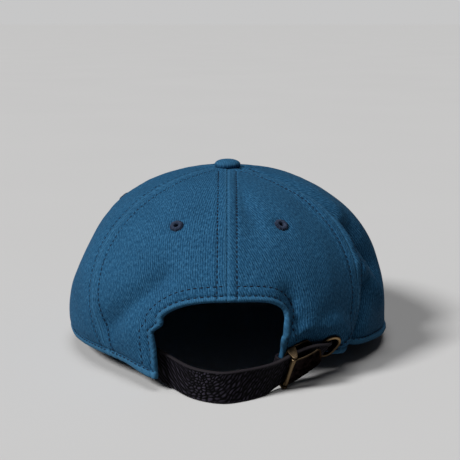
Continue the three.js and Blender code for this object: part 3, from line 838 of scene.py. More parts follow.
def weave_map(panel, row, up):
    """Where points lie on the flat cloth: across from the panel's middle line, and up along it."""
    middle_row = panel.first + panel.way * PANEL_ROWS / 2
    climb = np.linspace(0, 1, 241)
    along_middle = np.interp(up, climb, path_length(crown_point(middle_row, climb)))
    steps = 8
    here = crown_point(middle_row + 0 * row, up)
    across = np.zeros_like(row)
    for i in range(1, steps + 1):
        there = crown_point(lerp(middle_row, row, i / steps), up)
        across += length_of(there - here)
        here = there
    return np.stack((across * np.sign(row - middle_row), along_middle), -1)


def cut_hole(middle, place, long, wide):
    """Cells inside an oval hole in the cloth, and the grid with the hole's edge drawn onto the oval."""
    across = dot(middle - place.center, place.across)
    upward = dot(middle - place.center, place.upward)
    away = np.abs(dot(middle - place.center, place.normal))
    straight = np.clip(upward, wide - long, long - wide)
    radial = np.hypot(across, upward - straight)
    cell_radial = (radial[:-1, :-1] + radial[1:, :-1] + radial[1:, 1:] + radial[:-1, 1:]) / 4
    near = away < HOLE_DEPTH
    holed = (cell_radial < wide) & near[:-1, :-1]
    touched = np.zeros_like(near)
    kept = np.zeros_like(near)
    for c, r in ((0, 0), (1, 0), (1, 1), (0, 1)):
        window = (slice(c, c + holed.shape[0]), slice(r, r + holed.shape[1]))
        touched[window] |= holed
        kept[window] |= ~holed
    on_edge = touched & kept
    pull = np.where(on_edge, wide / np.maximum(radial, 1e-6) - 1, 0)[..., None]
    shift = across[..., None] * place.across + (upward - straight)[..., None] * place.upward
    return holed, pull * shift


def hole_walls(holed, outer, inner):
    """Faces round the edge of a hole, from the outer to the inner face of the cloth."""
    padded = np.pad(holed, 1)
    walls = []
    for c, r in np.argwhere(holed):
        corners = ((c, r), (c + 1, r), (c + 1, r + 1), (c, r + 1))
        beside = ((0, -1), (1, 0), (0, 1), (-1, 0))
        for i, (step_c, step_r) in enumerate(beside):
            if not padded[c + 1 + step_c, r + 1 + step_r]:
                start, end = corners[i], corners[(i + 1) % 4]
                walls.append((outer[start], outer[end], inner[end], inner[start]))
    return walls


def grid_border(shape):
    """Places round the border of a grid, anticlockwise."""
    columns, rows = shape
    places = [(i, 0) for i in range(columns)]
    places += [(columns - 1, j) for j in range(1, rows)]
    places += [(i, rows - 1) for i in range(columns - 2, -1, -1)]
    places += [(0, j) for j in range(rows - 2, 0, -1)]
    return tuple(np.array(places).T)


def turned_edges(panel, middle, normal):
    """Which way the cloth's turned edges stick out, on the panel's grid: nowhere along its seams."""
    out = np.zeros_like(middle)
    out[:, 0] = unit(np.cross(np.gradient(middle[:, 0], axis=0), normal[:, 0]))
    if panel.opening:
        rim = -1 if panel.way > 0 else 0
        below = panel.way * unit(np.cross(np.gradient(middle[rim], axis=0), normal[rim]))
        below[0] = unit(below[0] + out[rim, 0])
        out[rim] = below
    return out


def cut_holes(panel, middle):
    """The grid's cells that lie in the panel's holes, and the grid fitted to the holes' edges."""
    holed = np.zeros((middle.shape[0] - 1, middle.shape[1] - 1), bool)
    for place, long, wide in panel.holes:
        inside, shift = cut_hole(middle, place, long, wide)
        holed |= inside
        middle = middle + shift
    return holed, middle


def build_panel(panel):
    """A panel as a closed shell: its outer and inner face, and rounded edges round them."""
    row, up = panel_grid(panel)
    middle = crown_point(row, up)
    normal = crown_normal(row, up)
    lift, worn_and_highlighted = cloth_relief(panel, middle)
    middle = middle + hem_bend(panel, row, up, middle)
    out = turned_edges(panel, middle, normal)
    holed, middle = cut_holes(panel, middle)
    border = grid_border(row.shape)
    angles = half_turn(HEM_STEPS)[:, None]
    swell = np.where(np.cos(angles) > 0, CLOTH / 2 + lift[border], CLOTH / 2) * np.cos(angles)
    rings = middle[border] + normal[border] * swell[..., None]
    rings = rings + out[border] * (HEM_RADIUS * np.sin(angles))[..., None]
    outer = middle + normal * (CLOTH / 2 + lift)[..., None]
    inner = middle - normal * CLOTH / 2
    index = numbered(row.shape)
    ring_index = numbered(rings.shape[:2], 2 * row.size)
    edge = np.concatenate((index[border][None], ring_index, index[border][None] + row.size))
    kept = ~holed.ravel()
    faces = [*cells(index)[kept], *(cells(index)[kept] + row.size)[:, ::-1], *cells(edge, wrap=True)]
    faces += hole_walls(holed, index, index + row.size)
    uv = weave_map(panel, row, up)
    ring_uv = uv[border] - HEM_RADIUS * angles[..., None] * (0, 1)
    flat = [part.reshape(-1, 3) for part in (outer, inner, rings)]
    flat_uv = [part.reshape(-1, 2) for part in (uv, uv, ring_uv)]
    wear = [worn_and_highlighted.ravel(), 0 * worn_and_highlighted.ravel(), np.tile(worn_and_highlighted[border], HEM_STEPS)]
    make_piece(
        f"crown_{panel.name}", np.concatenate(flat), faces, CLOTH_LOOK, "cloth", f"panel_{panel.name}",
        uv=np.concatenate(flat_uv), wear=np.concatenate(wear),
    )


EYELET_HOLE = 2.1


def prepare_panels():
    for panel in PANELS:
        panel.lines = panel_lines(panel)
        panel.eyelet_place = place_on_crown(panel.first + panel.way * panel.eyelet, EYELET_UP)
        panel.holes = [(panel.eyelet_place, EYELET_HOLE, EYELET_HOLE)]
        if panel.name == "back_right":
            slot = GROMMET.wall + CLEARANCE
            panel.holes.append((grommet_place, GROMMET.long + slot, GROMMET.wide + slot))


# Stitches

def stitch_row(points, normals, pitch_scale=1.0):
    """Rings of points of the stitches along a line on the cloth."""
    length = path_length(points)
    pitch = (STITCH.length + STITCH.gap) * pitch_scale
    count = int(length[-1] // pitch)
    if count < 1:
        return np.zeros((0, STITCH.rings, STITCH.sides, 3))
    starts = (length[-1] - count * pitch) / 2 + pitch * np.arange(count)
    places = starts[:, None] + STITCH.length * np.linspace(0, 1, STITCH.rings)
    normal = unit(sampled(normals, length, places))
    middle = sampled(points, length, places)
    tangent = unit(np.gradient(middle, axis=1))
    arch = np.sin(np.linspace(0, math.pi, STITCH.rings)) ** 0.6
    radius = STITCH.radius * lerp(STITCH.end, 1, arch)
    raised = (STITCH.rise * arch - STITCH.sink) * STITCH.radius * 2
    middle = middle + normal * raised[:, None]
    return rings_round(middle, np.cross(normal, tangent), normal, radius, STITCH.sides)


def build_stitches(name, rows, look):
    rings = np.concatenate(rows)
    size = STITCH.rings * STITCH.sides
    pattern = tube_faces(0, STITCH.rings, STITCH.sides)
    faces = [np.asarray(face) + size * i for i in range(len(rings)) for face in pattern]
    make_piece(name, rings, faces, look, "thread")


def seam_stitches(panel, seam, way):
    """A row of stitches beside a seam, on the side where the panel is."""
    start = OPENING_TOP + OPENING_MARGIN if seam == 0 else SEAM_SPAN[0]
    up = np.linspace(start, SEAM_SPAN[1], 420)
    row = seam + 0 * up
    inward = unit(crown_along(row, up)) * way
    row, up = slide_to(row, up, crown_point(row, up) + inward * SEAM_STITCH)
    half = length_of(crown_point(seam + way * PANEL_ROWS / 2, up) - crown_point(seam, up))
    free = half > SEAM_STITCH + 0.3
    return stitch_row(*outer_point(panel, row[free], up[free]))


def rim_stitches(panel):
    start = panel.opening.half if panel.opening else 0
    across = np.linspace(start + RIM_MARGINS[0], PANEL_ROWS - RIM_MARGINS[1], 300)
    row = panel.first + panel.way * across
    up = 0 * row
    target = crown_point(row, up) + unit(crown_upward(row, up)) * RIM_STITCH
    return stitch_row(*outer_point(panel, *slide_to(row, up, target)), pitch_scale=RIM_PITCH)


def hem_stitches(panel, inset):
    share = np.linspace(*HEM_SPAN, 360)
    across, up = opening_edge(panel, share)
    row = panel.first + panel.way * across
    edge = crown_point(row, up)
    tangent = unit(np.gradient(edge, axis=0))
    inward = np.cross(tangent, crown_normal(row, up)) * -panel.way
    row, up = slide_to(row, up, edge + unit(inward) * inset)
    away = distance_to(crown_point(row, up), panel.lines.opening)
    sound = np.abs(away - inset) < 0.2 * inset
    return stitch_row(*outer_point(panel, row[sound], up[sound]), pitch_scale=HEM_PITCH)


def build_crown():
    prepare_panels()
    for panel in PANELS:
        build_panel(panel)
        near = seam_stitches(panel, panel.first, panel.way)
        far = seam_stitches(panel, panel.first + panel.way * PANEL_ROWS, -panel.way)
        side_rows = [far, rim_stitches(panel)]
        if panel.opening:
            back_rows = [near, *(hem_stitches(panel, inset) for inset in HEM_STITCHES)]
            build_stitches(f"back_stitches_{panel.name}", back_rows, BACK_LOOK)
        else:
            side_rows.append(near)
        build_stitches(f"stitches_{panel.name}", side_rows, SIDE_LOOK)
        build_eyelet(panel)


# Sewn eyelets

EYELET = SimpleNamespace(
    threads=46, rings=9, sides=6, radius=0.21, core_sides=40, uneven=0.35, reach=0.06, lean=0.10, outer=2
)
EYELET_PATH = table(  # a thread's way over the ring: distance from the hole's middle and height
    ("out", "height"),
    [
        (1.55, -2.9), (1.38, -1.6), (1.34, -0.3), (1.5, 0.35), (1.95, 0.72), (2.5, 0.74), (3.0, 0.5),
        (3.3, 0.1), (3.4, -0.4),
    ],
)
EYELET_CORE = ((1.5, -3.1), (1.45, 0.1), (1.9, 0.5), (2.6, 0.52), (3.1, 0.2), (3.2, -0.5), (2.1, -0.6),
               (2.1, -2.0), (3.0, -2.1), (3.1, -2.8), (2.3, -3.2))


def lathe(profile, sides):
    """Points of a closed profile turned round the local normal, and its faces."""
    angles = full_turn(sides)[:, None]
    out, height = np.array(profile, float).T
    points = np.stack((np.cos(angles) * out, np.sin(angles) * out, 0 * angles + height), -1)
    return points.reshape(-1, 3), list(cells(numbered(points.shape[:2]), ring=True, wrap=True))


def from_local(place, points):
    return (
        place.center
        + points[..., :1] * place.across
        + points[..., 1:2] * place.upward
        + points[..., 2:] * place.normal
    )


def build_eyelet(panel):
    rng = np.random.default_rng(SEED + PANELS.index(panel))
    core, faces = lathe(EYELET_CORE[::-1], EYELET.core_sides)
    points = [core]
    first = len(core)
    for i in range(EYELET.threads):
        angle = 2 * math.pi * (i + EYELET.uneven * rng.uniform(-1, 1)) / EYELET.threads
        reach = 1 + EYELET.reach * rng.uniform(-1, 1)
        lean = EYELET.lean * rng.uniform(-1, 1)
        turns = angle + lean * np.linspace(-1, 1, EYELET.rings)
        out = EYELET_PATH["out"] * np.where(EYELET_PATH["out"] > EYELET.outer, reach, 1)
        path = np.stack((np.cos(turns) * out, np.sin(turns) * out, EYELET_PATH["height"]), -1)
        tangent = unit(np.gradient(path, axis=0))
        side = unit(np.stack((-np.sin(turns), np.cos(turns), 0 * turns), -1))
        rings = rings_round(path, side, np.cross(tangent, side), EYELET.radius, EYELET.sides)
        points.append(rings.reshape(-1, 3))
        faces += tube_faces(first, EYELET.rings, EYELET.sides)
        first += EYELET.rings * EYELET.sides
    points = from_local(panel.eyelet_place, np.concatenate(points))
    make_piece(f"sewn_eyelet_{panel.name}", points, faces, EYELET_LOOK, "thread", f"eyelet_{panel.name}")


# Covered button

BUTTON_TUCK = ((1.6, -0.25), (0.7, -0.1), (0.2, 0.35), (0.02, 0.9))  # inside the button's edge, and height
BUTTON_SIDES = 72
BUTTON_RINGS = 22
BUTTON_GATHER = 0.006
BUTTON_WEAR = 0.35


def button_profile():
    """Distances from the axis and heights: up the stem, round the tucked edge and nearly to the top."""
    swing = np.linspace(0, math.pi / 2, BUTTON_RINGS)[:-1]
    dome_out = BUTTON.radius * np.cos(swing) ** 0.85
    dome_height = BUTTON.edge + (BUTTON.height - BUTTON.edge) * np.sin(swing) ** 1.1
    tuck = [(BUTTON.radius - inset, height) for inset, height in BUTTON_TUCK]
    stem = [(BUTTON.stem, -BUTTON.stem_length), (BUTTON.stem, 0)]
    return np.array([*stem, *tuck, *zip(dome_out, dome_height)])


def build_button():
    out, height = button_profile().T
    angles = full_turn(BUTTON_SIDES)[:, None]
    gather = 1 + BUTTON_GATHER * np.sin(12 * angles + 0.8 * np.sin(5 * angles))
    out = out * np.where(height > 0.3, gather, 1)
    rings = np.stack((out * np.sin(angles), -out * np.cos(angles), 0 * out + BUTTON_SEAT + height), -1)
    index = numbered(rings.shape[:2])
    points = np.concatenate((rings.reshape(-1, 3), [[0, 0, BUTTON_SEAT + BUTTON.height]]))
    top = len(points) - 1
    faces = list(cells(index, ring=True))
    faces += [(start, end, top) for start, end in zip(index[:, -1], np.roll(index[:, -1], -1))]
    faces.append(index[::-1, 0])
    worn_and_highlighted = BUTTON_WEAR * smoothstep(points[:, 2], BUTTON_SEAT + 1.0, BUTTON_SEAT + 2.2)
    make_piece("covered_button", points, faces, CLOTH_LOOK, "cloth", "button", uv=points[:, :2], wear=worn_and_highlighted)


# Visor

VISOR_ACROSS = 150
VISOR_ROWS = 46
VISOR_ROOT_GAP = 0.15
VISOR_EDGE_STEPS = 6
VISOR_GROOVE = 0.18  # depth of a stitched row
VISOR_BEAD = 0.25
VISOR_SWELL = SimpleNamespace(height=0.12, length=24)
VISOR_STITCH_SINK = 0.1
VISOR_ROOT_FREE = 3  # what the stitched rows keep from the crown
LOWEST = 0.02  # over the table


def visor_lines():
    """The visor's root along the rim and its outer edge, on the middle of its thickness."""
    side = np.linspace(-1, 1, VISOR_ACROSS + 1)
    row = FRONT_SEAM - side * VISOR.half_rows
    outward = crown_normal(row, 0 * row)
    outward[:, 2] = 0
    root = crown_point(row, 0) + unit(outward) * (CLOTH / 2 + VISOR_ROOT_GAP)
    root[:, 2] += VISOR.thick / 2
    tip = crown_point(FRONT_SEAM, 0)[1] + VISOR.length
    swing = np.radians(VISOR.end_swing * side)
    edge_x = VISOR.half_width * np.sin(swing)
    edge_y = VISOR.widest_at + (tip - VISOR.widest_at) * np.cos(swing)
    fall = 1 - (edge_x / VISOR.half_width) ** 2
    edge_z = VISOR.thick / 2 + (VISOR.tip_height - VISOR.thick / 2) * fall
    return root, np.stack((edge_x, edge_y, edge_z), -1)


def visor_relief(inset):
    """How the visor's stitched rows and bound edge shape its faces, by distance from the edge."""
    lift = -VISOR_GROOVE * sum(bump_at(inset, row, 0.7) for row in VISOR_STITCHES)
    bead = half_round(inset, *HEM_ROLL)
    return lift + VISOR_BEAD * bead, 0.7 * bead


def build_visor():
    root, edge = visor_lines()
    half = VISOR.thick / 2
    inward = unit(root - edge)
    last = edge + inward * half
    steps = np.linspace(0, 1, VISOR_ROWS + 1) ** 0.75
    middle = lerp(root[:, None], last[:, None], steps[:, None])
    inset = distance_to(middle, edge)
    lift, worn_and_highlighted = visor_relief(inset)
    lift = lift + VISOR_SWELL.height * ripple(middle, VISOR_SWELL.length)
    along = unit(np.gradient(middle, axis=0))
    normal = unit(np.cross(along, np.gradient(middle, axis=1)))
    top = middle + normal * (half + lift)[..., None]
    bottom = middle - normal * (half + np.minimum(lift, 0))[..., None]
    angles = half_turn(VISOR_EDGE_STEPS)
    swell = np.where(np.cos(angles) > 0, half + lift[:, -1:], half)
    rim = last[:, None] + normal[:, -1:] * (np.cos(angles) * swell)[..., None]
    rim = rim - inward[:, None] * (half * np.sin(angles))[:, None]
    profile = np.concatenate((top, rim, bottom[:, ::-1]), 1)
    profile[..., 2] = np.maximum(profile[..., 2], LOWEST)
    index = numbered(profile.shape[:2])
    faces = list(cells(index))
    faces += list(np.stack((index[:-1, 0], index[:-1, -1], index[1:, -1], index[1:, 0]), -1))
    for line, order in ((index[0], 1), (index[-1], -1)):
        for k in range(len(line) // 2 - 1):
            corners = (line[k], line[k + 1], line[-2 - k], line[-1 - k])
            faces.append(corners[::order])
    worn_edge = np.repeat(worn_and_highlighted[:, -1:], VISOR_EDGE_STEPS, 1)
    make_piece(
        "visor_shell", profile, faces, CLOTH_LOOK, "visor_cloth", "visor",
        uv=profile[..., :2], wear=np.concatenate((worn_and_highlighted, worn_edge, worn_and_highlighted[:, ::-1]), 1),
    )
    build_stitches("stitches_visor", visor_stitches(root, edge, normal), SIDE_LOOK)


def visor_stitches(root, edge, normal):
    """Rows of stitches on the visor's upper face, each at one distance from its edge."""
    length = length_of(root - edge)
    rows = []
    for inset in VISOR_STITCHES:
        reaches = length > inset + VISOR_ROOT_FREE
        line = lerp(edge, root, (inset / length)[:, None])[reaches]
        up = normal[reaches, normal.shape[1] // 2]
        top = line + up * (VISOR.thick / 2 - VISOR_STITCH_SINK)
        fine = np.linspace(0, len(top) - 1, 600)
        spread = (sampled(values, np.arange(len(top)), fine) for values in (top, up))
        rows.append(stitch_row(*spread, pitch_scale=VISOR_PITCH))
    return rows


# Strap

STRAP_SECTIONS = 560
STRAP_FACE = 60
STRAP_BACK = 12
STRAP_CORNER = 4
PEBBLE_HEIGHT = 0.5
PEBBLE_CREASE = 0.6
PEBBLE_TABLE = 256  # places of pebbles each way, before they repeat
STRAP_ROUNDNESS = 0.75  # corner radius, as a share of half the thickness
SMOOTH_EDGE = (0.4, 1.6)  # distances from the strap's edge over which the grain grows
# The even tone of the strap's back, between the painted crease shade and the painted top highlight
BACK_GRAIN = 0.7
# How the grain changes along the strap: where, the pebbles' length and width, how they are turned, and how far
# they run together into lines
PEBBLES = table(
    ("along", "length", "width", "turn", "lines"),
    [
        (0, 5.5, 1.6, -34, 1),
        (30, 5.0, 1.6, -34, 1),
        (36, 2.4, 1.5, -14, 0.3),
        (43, 1.9, 1.4, 8, 0),
        (54, 3.4, 1.5, 50, 0.6),
        (140, 3.4, 1.5, 50, 0.6),
    ],
)


def rounded_half(count, corner):
    """One face of a rounded oblong and the edge that follows it, as rows of rounded_loop()."""
    quarter = np.linspace(0, math.pi / 2, corner + 2)[1:-1]
    face = [(share, 1, 0, 1) for share in np.linspace(-1, 1, count)]
    upper = [(1, 1, math.sin(angle), math.cos(angle)) for angle in quarter]
    lower = [(1, -1, math.cos(angle), -math.sin(angle)) for angle in quarter]
    return np.array([*face, *upper, (1, 0, 1, 0), *lower])


def rounded_loop(face, back, corner):
    """A rounded oblong as shares of its straight halves and of its corner radius, outer face first."""
    rows = np.concatenate((rounded_half(face, corner), -rounded_half(back, corner)))
    return table(("across", "outward", "corner_across", "corner_outward"), rows)


def oblong(loop, half_width, half_thick, corner):
    """Where a rounded oblong's points lie, across and outward."""
    across = loop["across"] * (half_width - corner) + loop["corner_across"] * corner
    return across, loop["outward"] * (half_thick - corner) + loop["corner_outward"] * corner


def pebbles(along, across):
    """Leather grain: 0 in the creases between pebbles and 1 on their tops."""
    rng = np.random.default_rng(SEED)
    jitter = rng.uniform((0, 0.22), (1, 0.78), (PEBBLE_TABLE, PEBBLE_TABLE, 2))
    middle = np.mean(along, axis=1, keepdims=True)
    columns = ("length", "width", "turn", "lines")
    length, width, turn, lines = (np.interp(middle, PEBBLES["along"], PEBBLES[key]) for key in columns)
    angle = np.radians(turn)
    step = np.gradient(middle[:, 0])[:, None]
    x = np.cumsum(step * np.cos(angle) / length, axis=0) + across * np.sin(angle) / length
    y = across * np.cos(angle) / width - np.cumsum(step * np.sin(angle) / width, axis=0)
    y = y + 0.16 * np.sin(2.3 * x + 1.6 * np.sin(0.7 * y))
    cell_x = np.floor(x).astype(int)
    cell_y = np.floor(y).astype(int)
    nearest = np.full(x.shape, 9.0)
    second = np.full(x.shape, 9.0)
    for i in (-1, 0, 1):
        for j in (-1, 0, 1):
            spot = jitter[(cell_x + i) % PEBBLE_TABLE, (cell_y + j) % PEBBLE_TABLE]
            away = np.hypot(cell_x + i + spot[..., 0] - x, cell_y + j + spot[..., 1] - y)
            second = np.minimum(second, np.maximum(nearest, away))
            nearest = np.minimum(nearest, away)
    wave = y + 0.2 * np.sin(2.9 * x + 2.2 * np.sin(0.8 * y))
    line = (0.5 - 0.5 * np.cos(2 * math.pi * wave)) * (0.8 + 0.2 * np.sin(3.7 * x + 2.6 * np.floor(wave)))
    return lerp(smoothstep(second - nearest, 0, PEBBLE_CREASE), line, lines)


def build_strap():
    share = np.linspace(0, 1, STRAP_SECTIONS + 1)
    at = strap_frame(share)
    loop = rounded_loop(STRAP_FACE, STRAP_BACK, STRAP_CORNER)
    half_width = at.width[:, None] / 2
    half_thick = at.thick[:, None] / 2
    across, outward = oblong(loop, half_width, half_thick, STRAP_ROUNDNESS * half_thick)
    along = path_length(at.center)[:, None] + 0 * across
    on_face = (loop["outward"] > 0) * (loop["corner_across"] == 0)
    grain = pebbles(along, across)
    fade = smoothstep(half_width - np.abs(across), *SMOOTH_EDGE) * on_face
    outward = outward + PEBBLE_HEIGHT * (grain - 1) * fade
    points = at.center[:, None] + across[..., None] * at.across[:, None]
    points = points + outward[..., None] * at.outward[:, None]
    index = numbered(across.shape)
    faces = [*cells(index, wrap=True), index[0], index[-1][::-1]]
    # Where the leather's painted highlight runs along the cut edges
    edge = (1 - np.abs(loop["outward"])) + (loop["corner_across"] != 0) * 0.6
    edge = np.clip(edge, 0, 1) + 0 * across
    make_piece(
        "leather_strap", points, faces, LEATHER_LOOK, "strap_leather", "strap",
        uv=np.stack((along, across), -1), grain=np.where(fade > 0, grain, BACK_GRAIN), edge=edge,
    )


# Leather tab at the hem

TAB_SECTIONS = 25
TAB_LENGTH_UP = 300  # millimetres of its grain for one share up
# The tab's even tone between the painted crease shade and top highlight, and a faint painted highlight along
# its edges
TAB_GRAIN, TAB_EDGE = 0.6, 0.15


def cut_corners(corners, times):
    """A closed loop of points with its corners cut again and again, which rounds it."""
    loop = np.array(corners, float)
    for _ in range(times):
        after = np.roll(loop, -1, axis=0)
        pairs = np.stack((lerp(loop, after, 0.25), lerp(loop, after, 0.75)), 1)
        loop = pairs.reshape(-1, loop.shape[1])
    return loop


def build_tab():
    near = CLOTH / 2 + CLEARANCE
    far = near + TAB.thick
    turn = -CLEARANCE
    loop = cut_corners([
        (TAB.inside, -far), (0, -far), (turn - TAB.thick, -near), (turn - TAB.thick, near), (0, far),
        (TAB.outside, far), (TAB.outside, near), (turn, near), (turn, -near), (TAB.inside, -near),
    ], 2)
    up = np.linspace(TAB.low_up, TAB.high_up, TAB_SECTIONS)[:, None] + 0 * loop[:, 0]
    squareness = OPENING_RIGHT.squareness
    edge = OPENING_RIGHT.half * (1 - (up / OPENING_TOP) ** squareness) ** (1 / squareness)
    row_length = length_of(crown_along(edge, up))
    row = edge + loop[:, 0] / row_length
    points = crown_point(row, up) + crown_normal(row, up) * (loop[:, 1] + 0 * up)[..., None]
    index = numbered(up.shape)
    faces = [*cells(index, wrap=True)[:, ::-1], index[0][::-1], index[-1]]
    make_piece(
        "leather_tab", points, faces, LEATHER_LOOK, "strap_leather", "buckle_tab",
        uv=np.stack((loop[:, 0] + 0 * up, TAB_LENGTH_UP * up), -1),
        grain=np.full(up.shape, TAB_GRAIN), edge=np.full(up.shape, TAB_EDGE),
    )


# Brass grommet

GROMMET_PROFILE = (  # distance out from the slot's edge and height over the cloth
    (0, -2.9), (0, 0.9), (0.35, 1.55), (1.05, 1.75), (1.75, 1.45), (2.1, 0.85), (2.0, 0.6), (0.6, 0.6),
    (0.6, -2.6), (1.6, -2.6), (1.6, -3.1), (0.5, -3.1),
)
GROMMET_SIDES = 96
BRASS_RUBBING_AND_HIGHLIGHT = SimpleNamespace(  # how bright the brass is rubbed, and how bright the painted highlight along the grommet ring's top is
    ring=0.2, ring_top_highlight=0.6, plate_edge=0.06, ear=0.15, bar=0.35, bar_end=0.7, lid_edge=0.16, lid_tip=0.1
)


def build_grommet():
    profile = cut_corners(GROMMET_PROFILE, 2)
    straight = GROMMET.long - GROMMET.wide
    angles = full_turn(GROMMET_SIDES)
    out = np.stack((np.cos(angles), np.sin(angles)), -1)
    slot = out * GROMMET.wide + np.stack((0 * angles, straight * np.sign(np.round(np.sin(angles), 9))), -1)
    flat = slot[:, None] + out[:, None] * profile[:, :1]
    local = np.concatenate((flat, 0 * flat[..., :1] + profile[:, 1:]), -1)
    faces = cells(numbered(local.shape[:2]), ring=True, wrap=True)[:, ::-1]
    # A painted highlight along the ring's upper side, besides its rubbed wear
    top_highlight = smoothstep(np.sin(angles), 0.2, 1)[:, None]
    worn_and_highlighted = (BRASS_RUBBING_AND_HIGHLIGHT.ring + BRASS_RUBBING_AND_HIGHLIGHT.ring_top_highlight * top_highlight) * bump_at(profile[:, 1], 1.7, 0.45)
    points = from_local(grommet_place, local)
    make_piece("brass_grommet", points, faces, BRASS_LOOK, "brass", "grommet", wear=worn_and_highlighted)


# Snap buckle, in its own frame: x along the strap, y across it and z outward

PLATE_BEVEL, EAR_BEVEL, BAR_BEVEL = 0.25, 0.28, 0.3
BAR_SIDES = 28
LID = SimpleNamespace(  # the lid's plate: its steps, its rounded free end, and how it bulges
    even=0.9, steps=40, end_steps=12, tip=0.12, tip_round=2.2, face=28, corner_steps=4, corner=0.95,
    thinning=0.6, bulge=0.35, sink=0.2,
)


def buckle_place():
    at = strap_frame(BUCKLE.share)
    return SimpleNamespace(center=at.center, across=at.along, upward=at.across, normal=at.outward)


def skewed(points):
    """The buckle's hinged end slants across the strap, and its free end stays square to it."""
    b = BUCKLE
    slant = np.clip((b.lid_end - points[:, 0]) / (b.lid_end - b.pin_x - b.barrel), 0, 1)
    x = points[:, 0] + b.skew * (points[:, 1] - b.upper) * slant
    return from_local(buckle_place(), np.stack((x, points[:, 1], points[:, 2]), -1))


def rounded_plate(outline, bottom, top, bevel):
    """A flat plate with rounded edges, from an outline seen from above and running anticlockwise."""
    before = unit(outline - np.roll(outline, 1, 0))
    after = unit(np.roll(outline, -1, 0) - outline)
    inward = np.stack((-(before + after)[:, 1], (before + after)[:, 0]), -1)
    inward = inward / np.maximum((1 + dot(before, after))[:, None], 0.3)
    steps = np.radians((0, 22.5, 45, 67.5, 90))
    insets = np.concatenate((bevel * (1 - np.sin(steps)), bevel * (1 - np.cos(steps))))
    heights = np.concatenate((bottom + bevel * (1 - np.cos(steps)), top - bevel + bevel * np.sin(steps)))
    rings = outline + inward * insets[:, None, None]
    points = np.concatenate((rings, np.broadcast_to(heights[:, None, None], rings.shape[:2] + (1,))), -1)
    index = numbered(rings.shape[:2])
    faces = [*cells(index, wrap=True)[:, ::-1], index[0][::-1], index[-1]]
    worn_and_highlighted = np.repeat(np.where(insets < bevel * 0.99, BRASS_RUBBING_AND_HIGHLIGHT.plate_edge, 0), len(outline))
    return points.reshape(-1, 3), faces, worn_and_highlighted


def round_bar(radius, low, high):
    """A bar along y round the hinge, with rounded ends."""
    swing = np.radians((0, 30, 60, 90))
    rounding = BAR_BEVEL * (1 - np.sin(swing))
    ends = np.sort(np.concatenate((low + rounding, high - rounding)))
    radii = radius - BAR_BEVEL * (1 - np.cos(np.concatenate((swing[::-1], swing))))
    angles = full_turn(BAR_SIDES)
    points = np.stack((
        BUCKLE.pin_x + radii[:, None] * np.sin(angles), ends[:, None] + 0 * angles,
        BUCKLE.pin_z + radii[:, None] * np.cos(angles),
    ), -1)
    worn_and_highlighted = np.where(radii > radius - 0.9 * BAR_BEVEL, BRASS_RUBBING_AND_HIGHLIGHT.bar, BRASS_RUBBING_AND_HIGHLIGHT.bar_end)
    return points.reshape(-1, 3), tube_faces(0, len(ends), BAR_SIDES), np.repeat(worn_and_highlighted, BAR_SIDES)


def joined(*parts):
    points, faces, worn_and_highlighted = [], [], []
    first = 0
    for part_points, part_faces, part_worn in parts:
        points.append(part_points)
        faces += [np.asarray(face) + first for face in part_faces]
        worn_and_highlighted.append(part_worn)
        first += len(part_points)
    return np.concatenate(points), faces, np.concatenate(worn_and_highlighted)


def build_buckle_frame():
    b = BUCKLE
    bottom = b.base_top - b.base
    plate = rounded_plate(
        cut_corners([
            (-b.half_length, b.lower), (b.ear_end, b.lower), (b.half_length, b.lower + b.lower_taper),
            (b.half_length, b.upper - b.upper_taper), (b.ear_end, b.upper), (-b.half_length, b.upper),
        ], 1),
        bottom, b.base_top, PLATE_BEVEL,
    )
    ear = cut_corners([
        (-b.half_length, bottom), (b.ear_end, bottom), (b.ear_end, b.base_top + b.ear_round),
        (b.pin_x + b.ear_round, b.ear_top), (b.pin_x - b.ear_round, b.ear_top),
        (-b.half_length, b.ear_top - b.ear_round),
    ], 2)
    parts = [plate]
    for low_y in (b.lower, b.upper - b.ear):
        points, faces, worn_and_highlighted = rounded_plate(ear, -b.ear, 0, EAR_BEVEL)
        turned = np.stack((points[:, 0], low_y - points[:, 2], points[:, 1]), -1)
        parts.append((turned, faces, worn_and_highlighted + BRASS_RUBBING_AND_HIGHLIGHT.ear))
    parts.append(round_bar(b.pin_radius, b.lower + b.ear / 2, b.upper - b.ear / 2))
    points, faces, worn_and_highlighted = joined(*parts)
    make_piece("brass_buckle_frame", skewed(points), faces, BRASS_LOOK, "brass", "buckle_frame", wear=worn_and_highlighted)


